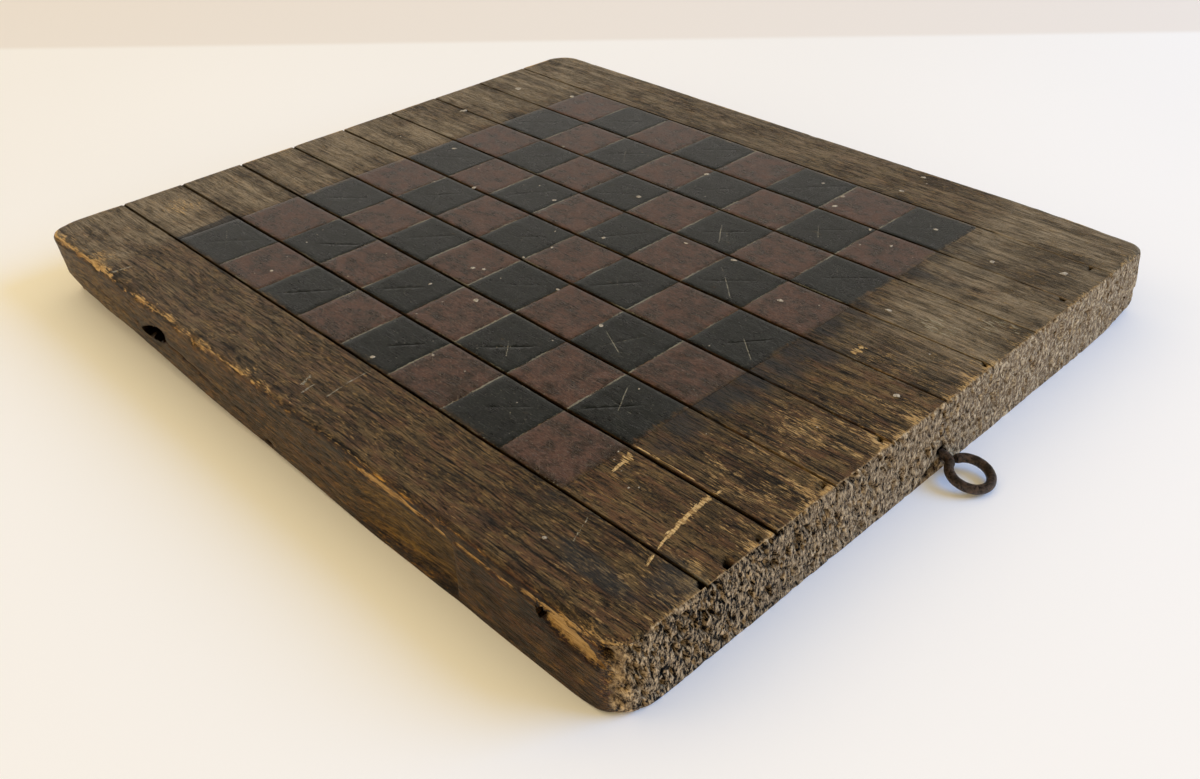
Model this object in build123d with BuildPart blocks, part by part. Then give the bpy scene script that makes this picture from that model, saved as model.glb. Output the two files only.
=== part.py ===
"""A wooden checkers board: one thick plank with a scribed and painted playing field, and
an iron screw eye in its front end to hang it by.

Lengths are in millimetres and +Z is up. The origin is the centre of the plank's underside.
X runs across the grain, Y runs along it, and the end with the screw eye faces -Y.
"""
import os
from math import asin, cos, radians, sin, sqrt

from build123d import *

os.makedirs("parts", exist_ok=True)

# The plank, and how far its corners and edges are worn round
board_width = 294.0
board_length = 334.0
board_thickness = 28.6
front_left_corner = 9.0
front_right_corner = 14.0
back_right_corner = 13.0
back_left_corner = 9.0
top_edge_radius = 2.0
bottom_edge_radius = 3.0

# The worn slope on the lower left edge, which fades out towards the front
slope_run = 200.0
slope_rise = 11.0
slope_inset = 6.0

# The playing field
squares_a_side = 8
square_width = 28.7
square_length = 28.3
field_shift_x = 1.0
field_shift_y = 3.3

# The lines scribed along the grain from end to end, and the finer ones across the field
groove_width = 1.3
groove_depth = 1.2
cross_line_width = 0.6
cross_line_depth = 0.4

# The coats of paint, which stop a little short of the scribed lines
paint_thickness = 0.15
paint_setback = 0.1

# Awl pricks that mark where the long lines were set out, near the front end
prick_diameter = 1.8
prick_depth = 2.0
prick_inset = 4.0
lines_without_prick = (4, 6)
big_prick_diameter = 2.6
big_prick_x = -103.7

# The hollow and the old nail hole in the left edge
hollow_length = 16.0
hollow_height = 5.0
hollow_depth = 7.0
hollow_y = 78.5
hollow_z = 14.6
hollow_tilt = -12.0
nail_hole_diameter = 3.0
nail_hole_depth = 9.0
nail_hole_y = -137.0
nail_hole_z = 22.0

# The screw eye, bent from round wire, which droops a little from the front end
wire_diameter = 3.5
eye_inner_diameter = 10.5
eye_reach = 10.5
eye_x = 3.9
eye_height = 6.0
eye_droop = 12.0
eye_bend_radius = 3.0
eye_end_gap = 0.3

# Its shank inside the wood
shank_depth = 22.0
thread_length = 15.0
thread_pitch = 1.7
thread_root_diameter = 2.5
thread_base = 0.9
thread_crest = 0.1
thread_sink = 0.1
point_length = 3.0
point_tip_diameter = 0.6
shank_clearance = 0.05
shank_end_clearance = 0.5

# How far cutting shapes reach past the surface that they cut
overcut = 1.0

half_width = board_width / 2
half_length = board_length / 2
wire_radius = wire_diameter / 2
field_width = squares_a_side * square_width
field_length = squares_a_side * square_length
long_lines_x = [field_shift_x - field_width / 2 + i * square_width for i in range(squares_a_side + 1)]
cross_lines_y = [field_shift_y - field_length / 2 + i * square_length for i in range(squares_a_side + 1)]
left_face = Plane.YZ.offset(-half_width)
plan_corners = [
    (-half_width, -half_length, front_left_corner),
    (half_width, -half_length, front_right_corner),
    (half_width, half_length, back_right_corner),
    (-half_width, half_length, back_left_corner),
]


def square_centres(parity):
    """Centres of the squares of one colour, counted from the front left square."""
    centres = []
    for column in range(squares_a_side):
        for row in range(squares_a_side):
            if (column + row) % 2 == parity:
                x = long_lines_x[column] + square_width / 2
                y = cross_lines_y[row] + square_length / 2
                centres.append((x, y))
    return centres


# The eye's own plane: its x runs out along the shank, its y runs towards +X
droop = radians(eye_droop)
eye_plane = Plane(
    origin=(eye_x, -half_length, eye_height),
    x_dir=(0, -cos(droop), -sin(droop)),
    z_dir=(0, -sin(droop), cos(droop)),
)
shank_plane = Plane(origin=eye_plane.origin, z_dir=eye_plane.x_dir)

# Plank
with BuildPart() as plank:
    with BuildSketch():
        Rectangle(board_width, board_length)
        for x, y, corner_radius in plan_corners:
            fillet(vertices().sort_by_distance((x, y))[0], corner_radius)
    extrude(amount=board_thickness)
    fillet(faces().sort_by(Axis.Z)[-1].edges(), top_edge_radius)
    fillet(faces().sort_by(Axis.Z)[0].edges(), bottom_edge_radius)

    # Worn slope on the lower left edge
    slope = Plane(
        origin=(-half_width, half_length - slope_run, 0),
        x_dir=(0, slope_run, slope_rise),
        z_dir=(slope_rise * slope_run, -slope_rise * slope_inset, slope_run * slope_inset),
    )
    split(bisect_by=slope, keep=Keep.TOP)

    # Lines along the grain, from end to end
    with BuildSketch(Plane.XZ.offset(half_length + overcut)):
        for x in long_lines_x:
            with Locations((x, board_thickness)):
                Polygon(
                    (-groove_width / 2, 0),
                    (0, -groove_depth),
                    (groove_width / 2, 0),
                    align=None,
                )
    extrude(amount=-(board_length + 2 * overcut), mode=Mode.SUBTRACT)

    # Lines across the field
    with BuildSketch(Plane.YZ.offset(long_lines_x[0])):
        for y in cross_lines_y:
            with Locations((y, board_thickness)):
                Polygon(
                    (-cross_line_width / 2, 0),
                    (0, -cross_line_depth),
                    (cross_line_width / 2, 0),
                    align=None,
                )
    extrude(amount=field_width, mode=Mode.SUBTRACT)

    # Awl pricks
    for i, x in enumerate(long_lines_x):
        if i not in lines_without_prick:
            with Locations((x, prick_inset - half_length, board_thickness)):
                Cone(
                    0,
                    prick_diameter / 2,
                    prick_depth,
                    align=(Align.CENTER, Align.CENTER, Align.MAX),
                    mode=Mode.SUBTRACT,
                )
    with Locations((big_prick_x, prick_inset - half_length, board_thickness)):
        Cone(
            0,
            big_prick_diameter / 2,
            prick_depth,
            align=(Align.CENTER, Align.CENTER, Align.MAX),
            mode=Mode.SUBTRACT,
        )

    # Hollow and nail hole in the left edge
    with BuildSketch(left_face):
        with Locations((hollow_y, hollow_z)):
            Ellipse(hollow_length / 2, hollow_height / 2, rotation=hollow_tilt)
    extrude(amount=hollow_depth, mode=Mode.SUBTRACT)
    with BuildSketch(left_face):
        with Locations((nail_hole_y, nail_hole_z)):
            Circle(nail_hole_diameter / 2)
    extrude(amount=nail_hole_depth, mode=Mode.SUBTRACT)

    # Hole for the eye's shank
    with BuildSketch(shank_plane.offset(wire_diameter)):
        Circle(wire_radius + shank_clearance)
    extrude(amount=-(wire_diameter + shank_depth + shank_end_clearance), mode=Mode.SUBTRACT)
plank.part.label = "plank"

# Painted squares
paint_width = square_width - groove_width - 2 * paint_setback
paint_length = square_length - cross_line_width - 2 * paint_setback

with BuildPart() as red_squares:
    with BuildSketch(Plane.XY.offset(board_thickness)):
        with Locations(square_centres(0)):
            Rectangle(paint_width, paint_length)
    extrude(amount=paint_thickness)
red_squares.part.label = "red_squares"

with BuildPart() as dark_squares:
    with BuildSketch(Plane.XY.offset(board_thickness)):
        with Locations(square_centres(1)):
            Rectangle(paint_width, paint_length)
    extrude(amount=paint_thickness)
dark_squares.part.label = "dark_squares"

# Screw eye: the shank's axis meets the eye's centre, and a short bend leads into the ring
ring_radius = eye_inner_diameter / 2 + wire_radius
bend_start = eye_reach - sqrt(ring_radius**2 + 2 * ring_radius * eye_bend_radius)
joint_share = ring_radius / (ring_radius + eye_bend_radius)
ring_start = (eye_reach + joint_share * (bend_start - eye_reach), -joint_share * eye_bend_radius)
end_angle = asin((wire_radius + eye_end_gap) / (ring_radius + wire_radius))
ring_end = (eye_reach - ring_radius * cos(end_angle), ring_radius * sin(end_angle))
thread_start = point_length - shank_depth
plain_start = thread_start + thread_length

with BuildPart() as screw_eye:
    with BuildLine(eye_plane) as wire_line:
        Line((plain_start, 0), (bend_start, 0))
        TangentArc((bend_start, 0), ring_start, tangent=(1, 0))
        ThreePointArc(ring_start, (eye_reach, -ring_radius), (eye_reach + ring_radius, 0))
        ThreePointArc((eye_reach + ring_radius, 0), (eye_reach, ring_radius), ring_end)
    with BuildSketch(shank_plane.offset(plain_start)):
        Circle(wire_radius)
    sweep(path=wire_line.wires()[0])

    # Core of the threaded length, and the point
    with BuildSketch(shank_plane.offset(thread_start)):
        Circle(thread_root_diameter / 2)
    extrude(amount=thread_length)
    with BuildSketch(shank_plane.offset(thread_start)):
        Circle(thread_root_diameter / 2)
    with BuildSketch(shank_plane.offset(-shank_depth)):
        Circle(point_tip_diameter / 2)
    loft()

    # Thread, whose crest is flush with the plain shank and whose foot is sunk in the core
    thread_foot_radius = thread_root_diameter / 2 - thread_sink
    thread_height = wire_radius - thread_foot_radius
    with BuildLine(shank_plane.offset(thread_start)) as thread_line:
        Helix(thread_pitch, thread_length, thread_foot_radius, direction=shank_plane.z_dir)
    thread_path = thread_line.wires()[0]
    thread_section = Plane(
        origin=thread_path @ 0,
        x_dir=(thread_path @ 0) - shank_plane.offset(thread_start).origin,
        z_dir=thread_path % 0,
    )
    with BuildSketch(thread_section):
        Polygon(
            (0, -thread_base / 2),
            (thread_height, -thread_crest / 2),
            (thread_height, thread_crest / 2),
            (0, thread_base / 2),
            align=None,
        )
    sweep(path=thread_path, is_frenet=True)
screw_eye.part.label = "screw_eye"

for piece in (plank, red_squares, dark_squares, screw_eye):
    export_step(piece.part, f"parts/{piece.part.label}.step")
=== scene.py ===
"""Looks of an old wooden checkers board with a screw eye in its front end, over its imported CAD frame.

The sizes in the classes are millimetres, in the frame of the model: x runs across the board, y from its
front end to its back, along the grain, and z up from its underside. A Blender mesh gets them in metres.
"""

import itertools
import logging
import math
from collections.abc import Sequence
from dataclasses import dataclass, field
from enum import Enum
from typing import Union

import bpy
import numpy as np
from mathutils import Matrix, Vector
from mathutils.geometry import delaunay_2d_cdt

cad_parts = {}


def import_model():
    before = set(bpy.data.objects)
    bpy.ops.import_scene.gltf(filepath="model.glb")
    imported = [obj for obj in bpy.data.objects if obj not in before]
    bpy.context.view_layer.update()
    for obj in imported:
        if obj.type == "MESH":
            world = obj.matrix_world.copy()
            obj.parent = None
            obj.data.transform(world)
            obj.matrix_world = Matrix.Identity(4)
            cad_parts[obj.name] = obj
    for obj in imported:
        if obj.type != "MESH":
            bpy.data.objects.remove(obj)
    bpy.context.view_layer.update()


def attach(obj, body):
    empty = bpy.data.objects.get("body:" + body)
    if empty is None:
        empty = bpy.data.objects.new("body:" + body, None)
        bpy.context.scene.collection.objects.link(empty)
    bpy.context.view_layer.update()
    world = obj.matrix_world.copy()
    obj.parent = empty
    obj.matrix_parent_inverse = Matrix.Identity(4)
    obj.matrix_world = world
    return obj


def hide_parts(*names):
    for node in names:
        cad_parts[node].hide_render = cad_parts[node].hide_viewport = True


LOG = logging.getLogger("checkers_board")
MM = 0.001
SHARP_DEGREES = 55.0

Array = np.ndarray
Material = bpy.types.Material
Object = bpy.types.Object
Masks = dict["Mask", Array]
Pair = tuple[float, float]
Triple = tuple[float, float, float]
Value = Union["Pattern", str, float, Sequence[float]]


def held(value: Array) -> Array:
    """Returns the value held between 0 and 1."""
    return np.clip(value, 0.0, 1.0)


def smoothstep(low: float, high: float, value: Array) -> Array:
    """Rises smoothly from 0 at low to 1 at high.

    Args:
        low: Where the rise starts.
        high: Where it ends.
        value: The numbers to map.

    Returns:
        One number from 0 to 1 for each value.
    """
    share = held((value - low) / (high - low))
    return share * share * (3.0 - 2.0 * share)


def spread(stops: Sequence[float], step: float) -> Array:
    """Lays positions that hold every stop and are at most a step apart.

    Args:
        stops: Positions in rising order, in mm.
        step: Largest distance between neighbours, in mm.

    Returns:
        The positions in rising order.
    """
    found = [stops[0]]
    for low, high in zip(stops, stops[1:]):
        count = max(1, math.ceil((high - low) / step - 1e-6))
        found.extend(low + (high - low) * (k + 1) / count for k in range(count))
    return np.array(found)


def near_segment(
    points: Array, start: Sequence[float], end: Sequence[float]
) -> tuple[Array, Array]:
    """Measures points against a straight segment.

    Args:
        points: Points, with one row of two coordinates each.
        start: The segment's first end.
        end: The segment's other end.

    Returns:
        The distance of each point, and its share of the way along, from 0 to 1.
    """
    first = np.asarray(start, float)
    run = np.asarray(end, float) - first
    share = np.clip(((points - first) @ run) / max(float(run @ run), 1e-9), 0.0, 1.0)
    return np.linalg.norm(points - first - share[..., None] * run, axis=-1), share


def hump(value: Array, middle: float, width: float) -> Array:
    """Returns a bell curve that is 1 where the value is at the middle and falls off over the width."""
    return np.exp(-(((value - middle) / width) ** 2))


def hill(u: Array, v: Array, middle: Pair, width: Pair) -> Array:
    """Returns a round hill over two coordinates, 1 at its middle, that falls off over the widths."""
    return np.exp(-(((u - middle[0]) / width[0]) ** 2) - ((v - middle[1]) / width[1]) ** 2)


def raised(place: Array, z: float | Array = 0.0) -> Array:
    """Returns points on a plane, x and y in mm, as points at a height, x, y and z in mm."""
    return np.column_stack([place, np.broadcast_to(z, len(place))])


@dataclass(frozen=True)
class ValueNoise:
    """Seeded smooth noise, the same in each run.

    Attributes:
        seed: Picks one field of noise.
    """

    seed: int

    def lattice(self, cell: Array) -> Array:
        """Gives each whole-number cell its own value.

        Args:
            cell: Cells, with three whole numbers in each row.

        Returns:
            A value from -1 to 1 for each cell.
        """
        mixed = cell[..., 0] * 374761393 + cell[..., 1] * 668265263 + cell[..., 2] * 974634777
        mixed = (mixed + self.seed * 144269504) & 0xFFFFFFFF
        mixed = ((mixed ^ (mixed >> 13)) * 1274126177) & 0xFFFFFFFF
        mixed ^= mixed >> 16
        return (mixed & 0xFFFF) / 32767.5 - 1.0

    def at(self, points: Array, size: Sequence[float], octaves: int = 1) -> Array:
        """Reads the noise.

        Args:
            points: Points in mm, with three numbers in each row.
            size: Length of one bump along x, y and z, in mm.
            octaves: How many layers, each half as large as the one before.

        Returns:
            A value of about -1 to 1 for each point.
        """
        total = np.zeros(points.shape[:-1])
        weight = 1.0
        for octave in range(octaves):
            scaled = points * (2.0**octave / np.asarray(size, float)) + 17.3 * octave
            base = np.floor(scaled).astype(np.int64)
            part = scaled - base
            part = part * part * (3.0 - 2.0 * part)
            for corner in itertools.product((0, 1), repeat=3):
                share = np.prod(np.where(np.array(corner) == 1, part, 1.0 - part), axis=-1)
                total += weight * share * self.lattice(base + np.array(corner))
            weight *= 0.5
        return total / (2.0 - 2.0 * weight)


def linear(code: str) -> tuple[float, float, float, float]:
    """Turns an sRGB hex colour to linear.

    Args:
        code: Six hex digits after a number sign.

    Returns:
        Linear red, green and blue, and an alpha of 1.
    """
    shares = [int(code[k : k + 2], 16) / 255 for k in (1, 3, 5)]
    red, green, blue = (s / 12.92 if s <= 0.04045 else ((s + 0.055) / 1.055) ** 2.4 for s in shares)
    return red, green, blue, 1.0


class Mask(Enum):
    """Masks that the meshes carry for their finishes, from 0 to 1."""

    BARE = "bare"
    # Black in grooves, holes, pits and hollows: partly dirt, partly painted shade.
    SOOT_AND_SHADE = "soot_and_shade"
    END = "end_grain"
    SMEAR = "smear"
    # Dry, grey wood, and on the top's back and right partly painted sheen.
    GREY_AND_SHEEN = "weathered_and_sheen"
    # Painted shade in the scratched lines that are drawn dark.
    SHADED_CUT = "incised_in_shade"
    RIM = "paint_rim"
    # Real pale dust, and in the paint the painted highlight of the pale scratches.
    DUST_AND_HIGHLIGHT = "dust_and_highlight"
    CRUMB = "crumbled"
    OILY = "hand_stained"


@dataclass(frozen=True)
class Pattern:
    """A number or a colour that varies over a surface, as a tree of nodes works it out.

    Patterns and plain numbers are added, subtracted and multiplied with the usual signs.

    Attributes:
        socket: The output that gives it.
    """

    socket: bpy.types.NodeSocket

    def joined(self, operation: str, first: Value, second: Value) -> "Pattern":
        """Returns two values joined by one of Blender's math operations."""
        return add_node(self.socket.id_data, "Math", {"operation": operation}, {0: first, 1: second})

    def __add__(self, other: Value) -> "Pattern":
        """Returns the sum."""
        return self.joined("ADD", self, other)

    def __sub__(self, other: Value) -> "Pattern":
        """Returns the difference."""
        return self.joined("SUBTRACT", self, other)

    def __rsub__(self, other: float) -> "Pattern":
        """Returns a plain number less the pattern."""
        return self.joined("SUBTRACT", other, self)

    def __mul__(self, other: Value) -> "Pattern":
        """Returns the product."""
        return self.joined("MULTIPLY", self, other)

    def higher(self, other: Value) -> "Pattern":
        """Returns the higher of the two at each point."""
        return self.joined("MAXIMUM", self, other)

    def ramp(self, low: float, high: float, start: float = 0.0, end: float = 1.0) -> "Pattern":
        """Returns the pattern mapped from low..high to start..end, with soft ends and no overshoot."""
        links = {0: self, 1: low, 2: high, 3: start, 4: end}
        return add_node(self.socket.id_data, "MapRange", {"interpolation_type": "SMOOTHSTEP"}, links)

    def blend(self, first: Value, second: Value, way: str = "MIX") -> "Pattern":
        """Returns the first colour turned into the second, with this pattern as the second's share."""
        settings = {"data_type": "RGBA", "blend_type": way}
        return add_node(self.socket.id_data, "Mix", settings, {"Factor": self, 6: first, 7: second})


def feed(socket: bpy.types.NodeSocket, value: Value) -> None:
    """Links a pattern to an input, or sets the input to a plain value or an sRGB hex colour."""
    if isinstance(value, Pattern):
        socket.id_data.links.new(value.socket, socket)
    else:
        socket.default_value = linear(value) if isinstance(value, str) else value


def add_node(
    tree: bpy.types.NodeTree, kind: str, settings: dict[str, Value] | None = None,
    links: dict[int | str, Value] | None = None, output: str = "",
) -> Pattern:
    """Adds a node with its settings and links.

    Args:
        tree: The node tree that it goes in.
        kind: Its type, without the common first word.
        settings: Values of the node's own fields.
        links: For each input by name or number, what feeds it.
        output: Name of the output that is wanted, or nothing for the first one in use.

    Returns:
        What that output gives.
    """
    made = tree.nodes.new("ShaderNode" + kind)
    for name, value in (settings or {}).items():
        setattr(made, name, value)
    for key, value in (links or {}).items():
        feed(made.inputs[key], value)
    return Pattern(made.outputs[output] if output else next(s for s in made.outputs if s.enabled))


@dataclass(frozen=True)
class Weave:
    """Lays the patterns of one material.

    Attributes:
        material: The material.
        place: Where the patterns are read, or None for the object's own space.
    """

    material: Material
    place: Pattern | None = None

    @classmethod
    def named(cls, name: str) -> "Weave":
        """Starts a new material.

        Args:
            name: The material's name.

        Returns:
            The helper that lays its patterns.
        """
        made = bpy.data.materials.new(name)
        made.use_nodes = True
        return cls(made)

    def own_space(self) -> Pattern:
        """Returns the place of each point in the object's own space."""
        return add_node(self.material.node_tree, "TexCoord", output="Object")

    def wandering(self) -> "Weave":
        """Makes the patterns sway a little, as grain does round old branches.

        Returns:
            The helper whose patterns sway.
        """
        sway = self.noise((22.0, 60.0, 22.0), 1.0, 51.0)
        links = {0: sway, 1: (5.0 * MM, 0.0, 5.0 * MM), 2: self.own_space()}
        tree = self.material.node_tree
        return Weave(self.material, add_node(tree, "VectorMath", {"operation": "MULTIPLY_ADD"}, links))

    def noise(
        self, size: Sequence[float], detail: float, shift: float = 0.0,
        turn: Sequence[float] = (0.0, 0.0, 0.0), roughness: float = 0.62,
    ) -> Pattern:
        """Lays noise.

        Args:
            size: Length of one bump along x, y and z, in mm.
            detail: How many finer layers there are.
            shift: Moves the pattern, so that two of one size differ.
            turn: Turns it about x, y and z, in degrees.
            roughness: Strength of the finer layers.

        Returns:
            A number from 0 to 1, mostly between 0.3 and 0.7.
        """
        tree = self.material.node_tree
        links = {"Vector": self.place or self.own_space(), "Rotation": tuple(math.radians(t) for t in turn)}
        turned = add_node(tree, "Mapping", {"vector_type": "POINT"}, links)
        links = {0: turned, 1: tuple(1.0 / (s * MM) for s in size), 2: (shift, shift * 0.7, -shift)}
        scaled = add_node(tree, "VectorMath", {"operation": "MULTIPLY_ADD"}, links)
        links = {"Vector": scaled, "Scale": 1.0, "Detail": detail, "Roughness": roughness}
        return add_node(tree, "TexNoise", None, links)

    def painted(self, mask: Mask) -> Pattern:
        """Returns a mask that the mesh carries at its vertices."""
        return add_node(self.material.node_tree, "Attribute", {"attribute_name": mask.value}, output="Fac")

    def finish(
        self, colour: Pattern, rough: Pattern, height: Pattern | None = None, gloss: Value = 0.5,
        metallic: Value = 0.0,
    ) -> Material:
        """Feeds the patterns to the material's shader.

        Args:
            colour: The base colour.
            rough: The roughness.
            height: Height of the surface in metres, for the bump.
            gloss: Specular level, below the usual half where pores and dust break the reflection up.
            metallic: How much of it is bare metal.

        Returns:
            The finished material.
        """
        tree = self.material.node_tree
        shader = next(node for node in tree.nodes if node.type == "BSDF_PRINCIPLED")
        values = {"Base Color": colour, "Roughness": rough, "Specular IOR Level": gloss, "Metallic": metallic}
        if height is not None:
            links = {"Strength": 1.0, "Distance": 1.0, "Height": height}
            values["Normal"] = add_node(tree, "Bump", None, links)
        for name, value in values.items():
            feed(shader.inputs[name], value)
        return self.material


@dataclass(frozen=True)
class AgedPine:
    """Softwood board, planed once, and darkened by a century of hands, smoke and floor wax.

    The eye sees near-black brown with fine streaks along the grain, greyer where it is dry, and raw
    orange-tan wood wherever the skin is knocked off. On the top it is also drawn paler towards the back
    and the right, which is partly painted sheen. Its ends are open grain: grey-tan, crumbly and full of
    black pits, partly painted shade, with paler lumps that are partly a painted highlight. Real fibres
    and pores are under 0.1 mm wide, too fine to show in the render, so they are drawn about 0.5 mm wide.

    Attributes:
        umber: The darkest of the skin.
        brown: Its lighter streaks.
        red_brown: The same where the wood is more resinous.
        speckled: Short dashes where the skin is thin.
        faded_dark: The darkest of the skin where it is dry and grey, and where the top is drawn paler as
            partly painted sheen.
        faded: Its lighter streaks there.
        raw_dark: Summer wood where the skin is knocked off.
        raw: Spring wood there.
        black: Open pores and cracks, and the black of deep grooves, holes and pits, partly painted shade.
        stain_dark: Strong stain of hands and oil, which multiplies the colour of the sides.
        stain: The same where it is weak.
        smear: Dark paint wiped over the wood's edge.
        dust: Pale dust in the scored lines, and in the paint the painted highlight of its pale scratches.
        end_pale: The palest of the end grain, on its raised lumps, partly a painted highlight.
        end_mid: Its common colour.
        end_pale_rotten: The palest of it where it crumbles, also partly a painted highlight.
        end_mid_rotten: Its common colour there.
        end_dark: The floor of its pits, painted shade.
        roughness: Roughness of the waxed skin.
        gloss: Its specular level.
        fibre_relief: Height of the fibres, in mm.
        pore_depth: Depth of the open pores, in mm.
        pit_depth: Height of the lumps of the end grain, in mm.
    """

    umber: str = "#1c130a"
    brown: str = "#684f2b"
    red_brown: str = "#5f3b20"
    speckled: str = "#8b6b3d"
    faded_dark: str = "#4f422e"
    faded: str = "#8f7e64"
    raw_dark: str = "#94703f"
    raw: str = "#d2ad72"
    black: str = "#060403"
    stain_dark: str = "#b2984e"
    stain: str = "#efd67c"
    smear: str = "#272a2b"
    dust: str = "#8a846f"
    end_pale: str = "#dac19a"
    end_mid: str = "#8f7454"
    end_pale_rotten: str = "#c2a379"
    end_mid_rotten: str = "#4f3b27"
    end_dark: str = "#0c0805"
    roughness: float = 0.44
    gloss: float = 0.3
    fibre_relief: float = 0.3
    pore_depth: float = 0.2
    pit_depth: float = 0.8

    def long_grain(self, weave: Weave, fibre: Pattern, pore: Pattern) -> Pattern:
        """Lays the colour of the top, the sides and the underside.

        Args:
            weave: The material's helper.
            fibre: The pattern of single fibres.
            pore: The pattern of open pores.

        Returns:
            The colour.
        """
        band = weave.noise((2.6, 90.0, 2.6), 2.0, 3.1)
        mottle = weave.noise((14.0, 24.0, 14.0), 5.0, 7.7, roughness=0.7)
        hue = weave.noise((3.4, 10.0, 3.4), 4.0, 31.7)
        split = weave.noise((0.9, 40.0, 0.9), 2.0, 41.0)
        streak = weave.noise((0.42, 3.4, 0.45), 4.0, 5.9, roughness=0.7)
        cloud = weave.noise((3.4, 8.0, 3.4), 3.0, 15.1)
        grit = weave.noise((0.55, 0.7, 0.55), 3.0, 19.0, roughness=0.75)
        tone = fibre * 0.44 + band * 0.22 + mottle * 0.14 + grit * 0.2
        # Dry grey skin, and the paler back and right of the top, partly painted sheen, turn to the faded
        # colours.
        aged_and_sheen = weave.painted(Mask.GREY_AND_SHEEN) * mottle.ramp(0.34, 0.54, 0.5, 1.0)
        light = aged_and_sheen.blend(hue.ramp(0.43, 0.57).blend(self.brown, self.red_brown), self.faded)
        base = tone.ramp(0.43, 0.58).blend(aged_and_sheen.blend(self.umber, self.faded_dark), light)
        bold = aged_and_sheen.ramp(0.1, 0.8, 0.9, 0.35)
        dash = (streak * 0.7 + cloud * 0.3).ramp(0.52, 0.62, 0.0, 0.75)
        base = (dash * bold).blend(base, self.speckled)
        base = (pore.ramp(0.54, 0.64) * bold).blend(base, self.black)
        base = (split.ramp(0.59, 0.65) * bold).blend(base, self.black)
        bare = weave.painted(Mask.BARE)
        lift = streak * 0.78 + cloud * 0.22 + bare * 0.34
        shown = lift.ramp(0.61, 0.69) * bare.ramp(0.0, 0.7, 0.45, 1.0)
        base = shown.blend(base, self.raw_wood(fibre))
        uneven = weave.noise((2.2, 5.0, 1.5), 4.0, 61.0, roughness=0.72).ramp(0.42, 0.58)
        stain = uneven.blend(self.stain_dark, self.stain)
        base = weave.painted(Mask.OILY).blend(base, stain, "MULTIPLY")
        smeared = weave.painted(Mask.SMEAR) + grit * 0.6
        base = smeared.ramp(0.6, 1.1, 0.0, 0.75).blend(base, self.smear)
        dusty = weave.painted(Mask.DUST_AND_HIGHLIGHT) * 0.5 + grit
        base = dusty.ramp(0.76, 0.92, 0.0, 0.85).blend(base, self.dust)
        return weave.painted(Mask.SOOT_AND_SHADE).blend(base, self.black)

    def raw_wood(self, fibre: Pattern) -> Pattern:
        """Returns the colour of wood whose skin is knocked off."""
        return fibre.ramp(0.36, 0.6).blend(self.raw_dark, self.raw)

    def end_grain(self, weave: Weave, fibre: Pattern) -> tuple[Pattern, Pattern]:
        """Lays the colour of the two ends, with painted shade in the pits and a partly painted highlight on
        the lumps.

        Args:
            weave: The material's helper.
            fibre: The pattern of single fibres.

        Returns:
            The colour, and the pattern of lumps and pits that it follows.
        """
        rotten = weave.painted(Mask.CRUMB)
        lean = (0.0, 8.0, 0.0)
        pit = weave.noise((1.3, 4.0, 2.6), 4.0, 2.3, lean, 0.7)
        crumb = weave.noise((0.55, 4.0, 0.8), 3.0, 9.1, lean, 0.72)
        hair = weave.noise((0.5, 4.0, 2.8), 5.0, 6.4, lean, 0.74)
        slant = weave.noise((0.5, 4.0, 3.0), 5.0, 4.8, (0.0, -40.0, 0.0), 0.72)
        upright = rotten.ramp(0.2, 0.6)
        fine = (hair * upright + slant * (1.0 - upright)) * 0.58 + crumb * 0.42
        lump = pit * 0.45 + fine * 0.55
        mid = rotten.blend(self.end_mid, self.end_mid_rotten)
        # The raised tops of the lumps are drawn pale: partly a painted highlight.
        ends = lump.ramp(0.45, 0.58).blend(mid, rotten.blend(self.end_pale, self.end_pale_rotten))
        # The sunk pits are drawn near black: painted shade.
        hole = pit * 0.55 + fine * 0.45 - rotten * 0.1
        ends = hole.ramp(0.425, 0.385).blend(ends, self.end_dark)
        torn = weave.painted(Mask.BARE) * pit.ramp(0.4, 0.6, 0.1, 0.7)
        ends = torn.blend(ends, self.raw_wood(fibre))
        return weave.painted(Mask.SOOT_AND_SHADE).blend(ends, self.black), lump

    def colour(self, weave: Weave) -> tuple[Pattern, Pattern, Pattern]:
        """Lays the wood's patterns.

        Args:
            weave: The material's helper.

        Returns:
            The colour, the roughness, and the height in metres.
        """
        ends, lump = self.end_grain(weave, weave.noise((0.4, 9.0, 0.45), 5.0, roughness=0.74))
        weave = weave.wandering()
        fibre = weave.noise((0.55, 11.0, 0.6), 5.0, roughness=0.72)
        pore = weave.noise((0.5, 5.0, 0.52), 3.0, 11.3, roughness=0.7)
        patch = weave.noise((2.4, 6.0, 2.4), 3.0, 13.9)
        end = (weave.painted(Mask.END) + patch * 0.8).ramp(0.78, 1.02)
        colour = end.blend(self.long_grain(weave, fibre, pore), ends)
        rough = pore.ramp(0.35, 0.7, self.roughness, self.roughness + 0.22)
        rise = fibre * (self.fibre_relief * MM) - pore.ramp(0.54, 0.66) * (self.pore_depth * MM)
        deep = lump.ramp(0.36, 0.58, 0.0, self.pit_depth * MM)
        return colour, rough, end * deep + (1.0 - end) * rise

    def material(self) -> Material:
        """Makes the wood's material.

        Returns:
            The finished material.
        """
        weave = Weave.named("aged_pine_worn_and_waxed")
        colour, rough, height = self.colour(weave)
        dull = weave.painted(Mask.SOOT_AND_SHADE).higher(weave.painted(Mask.END) * 0.7)
        return weave.finish(colour, rough, height, dull.ramp(0.2, 0.9, self.gloss, 0.0))


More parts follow.
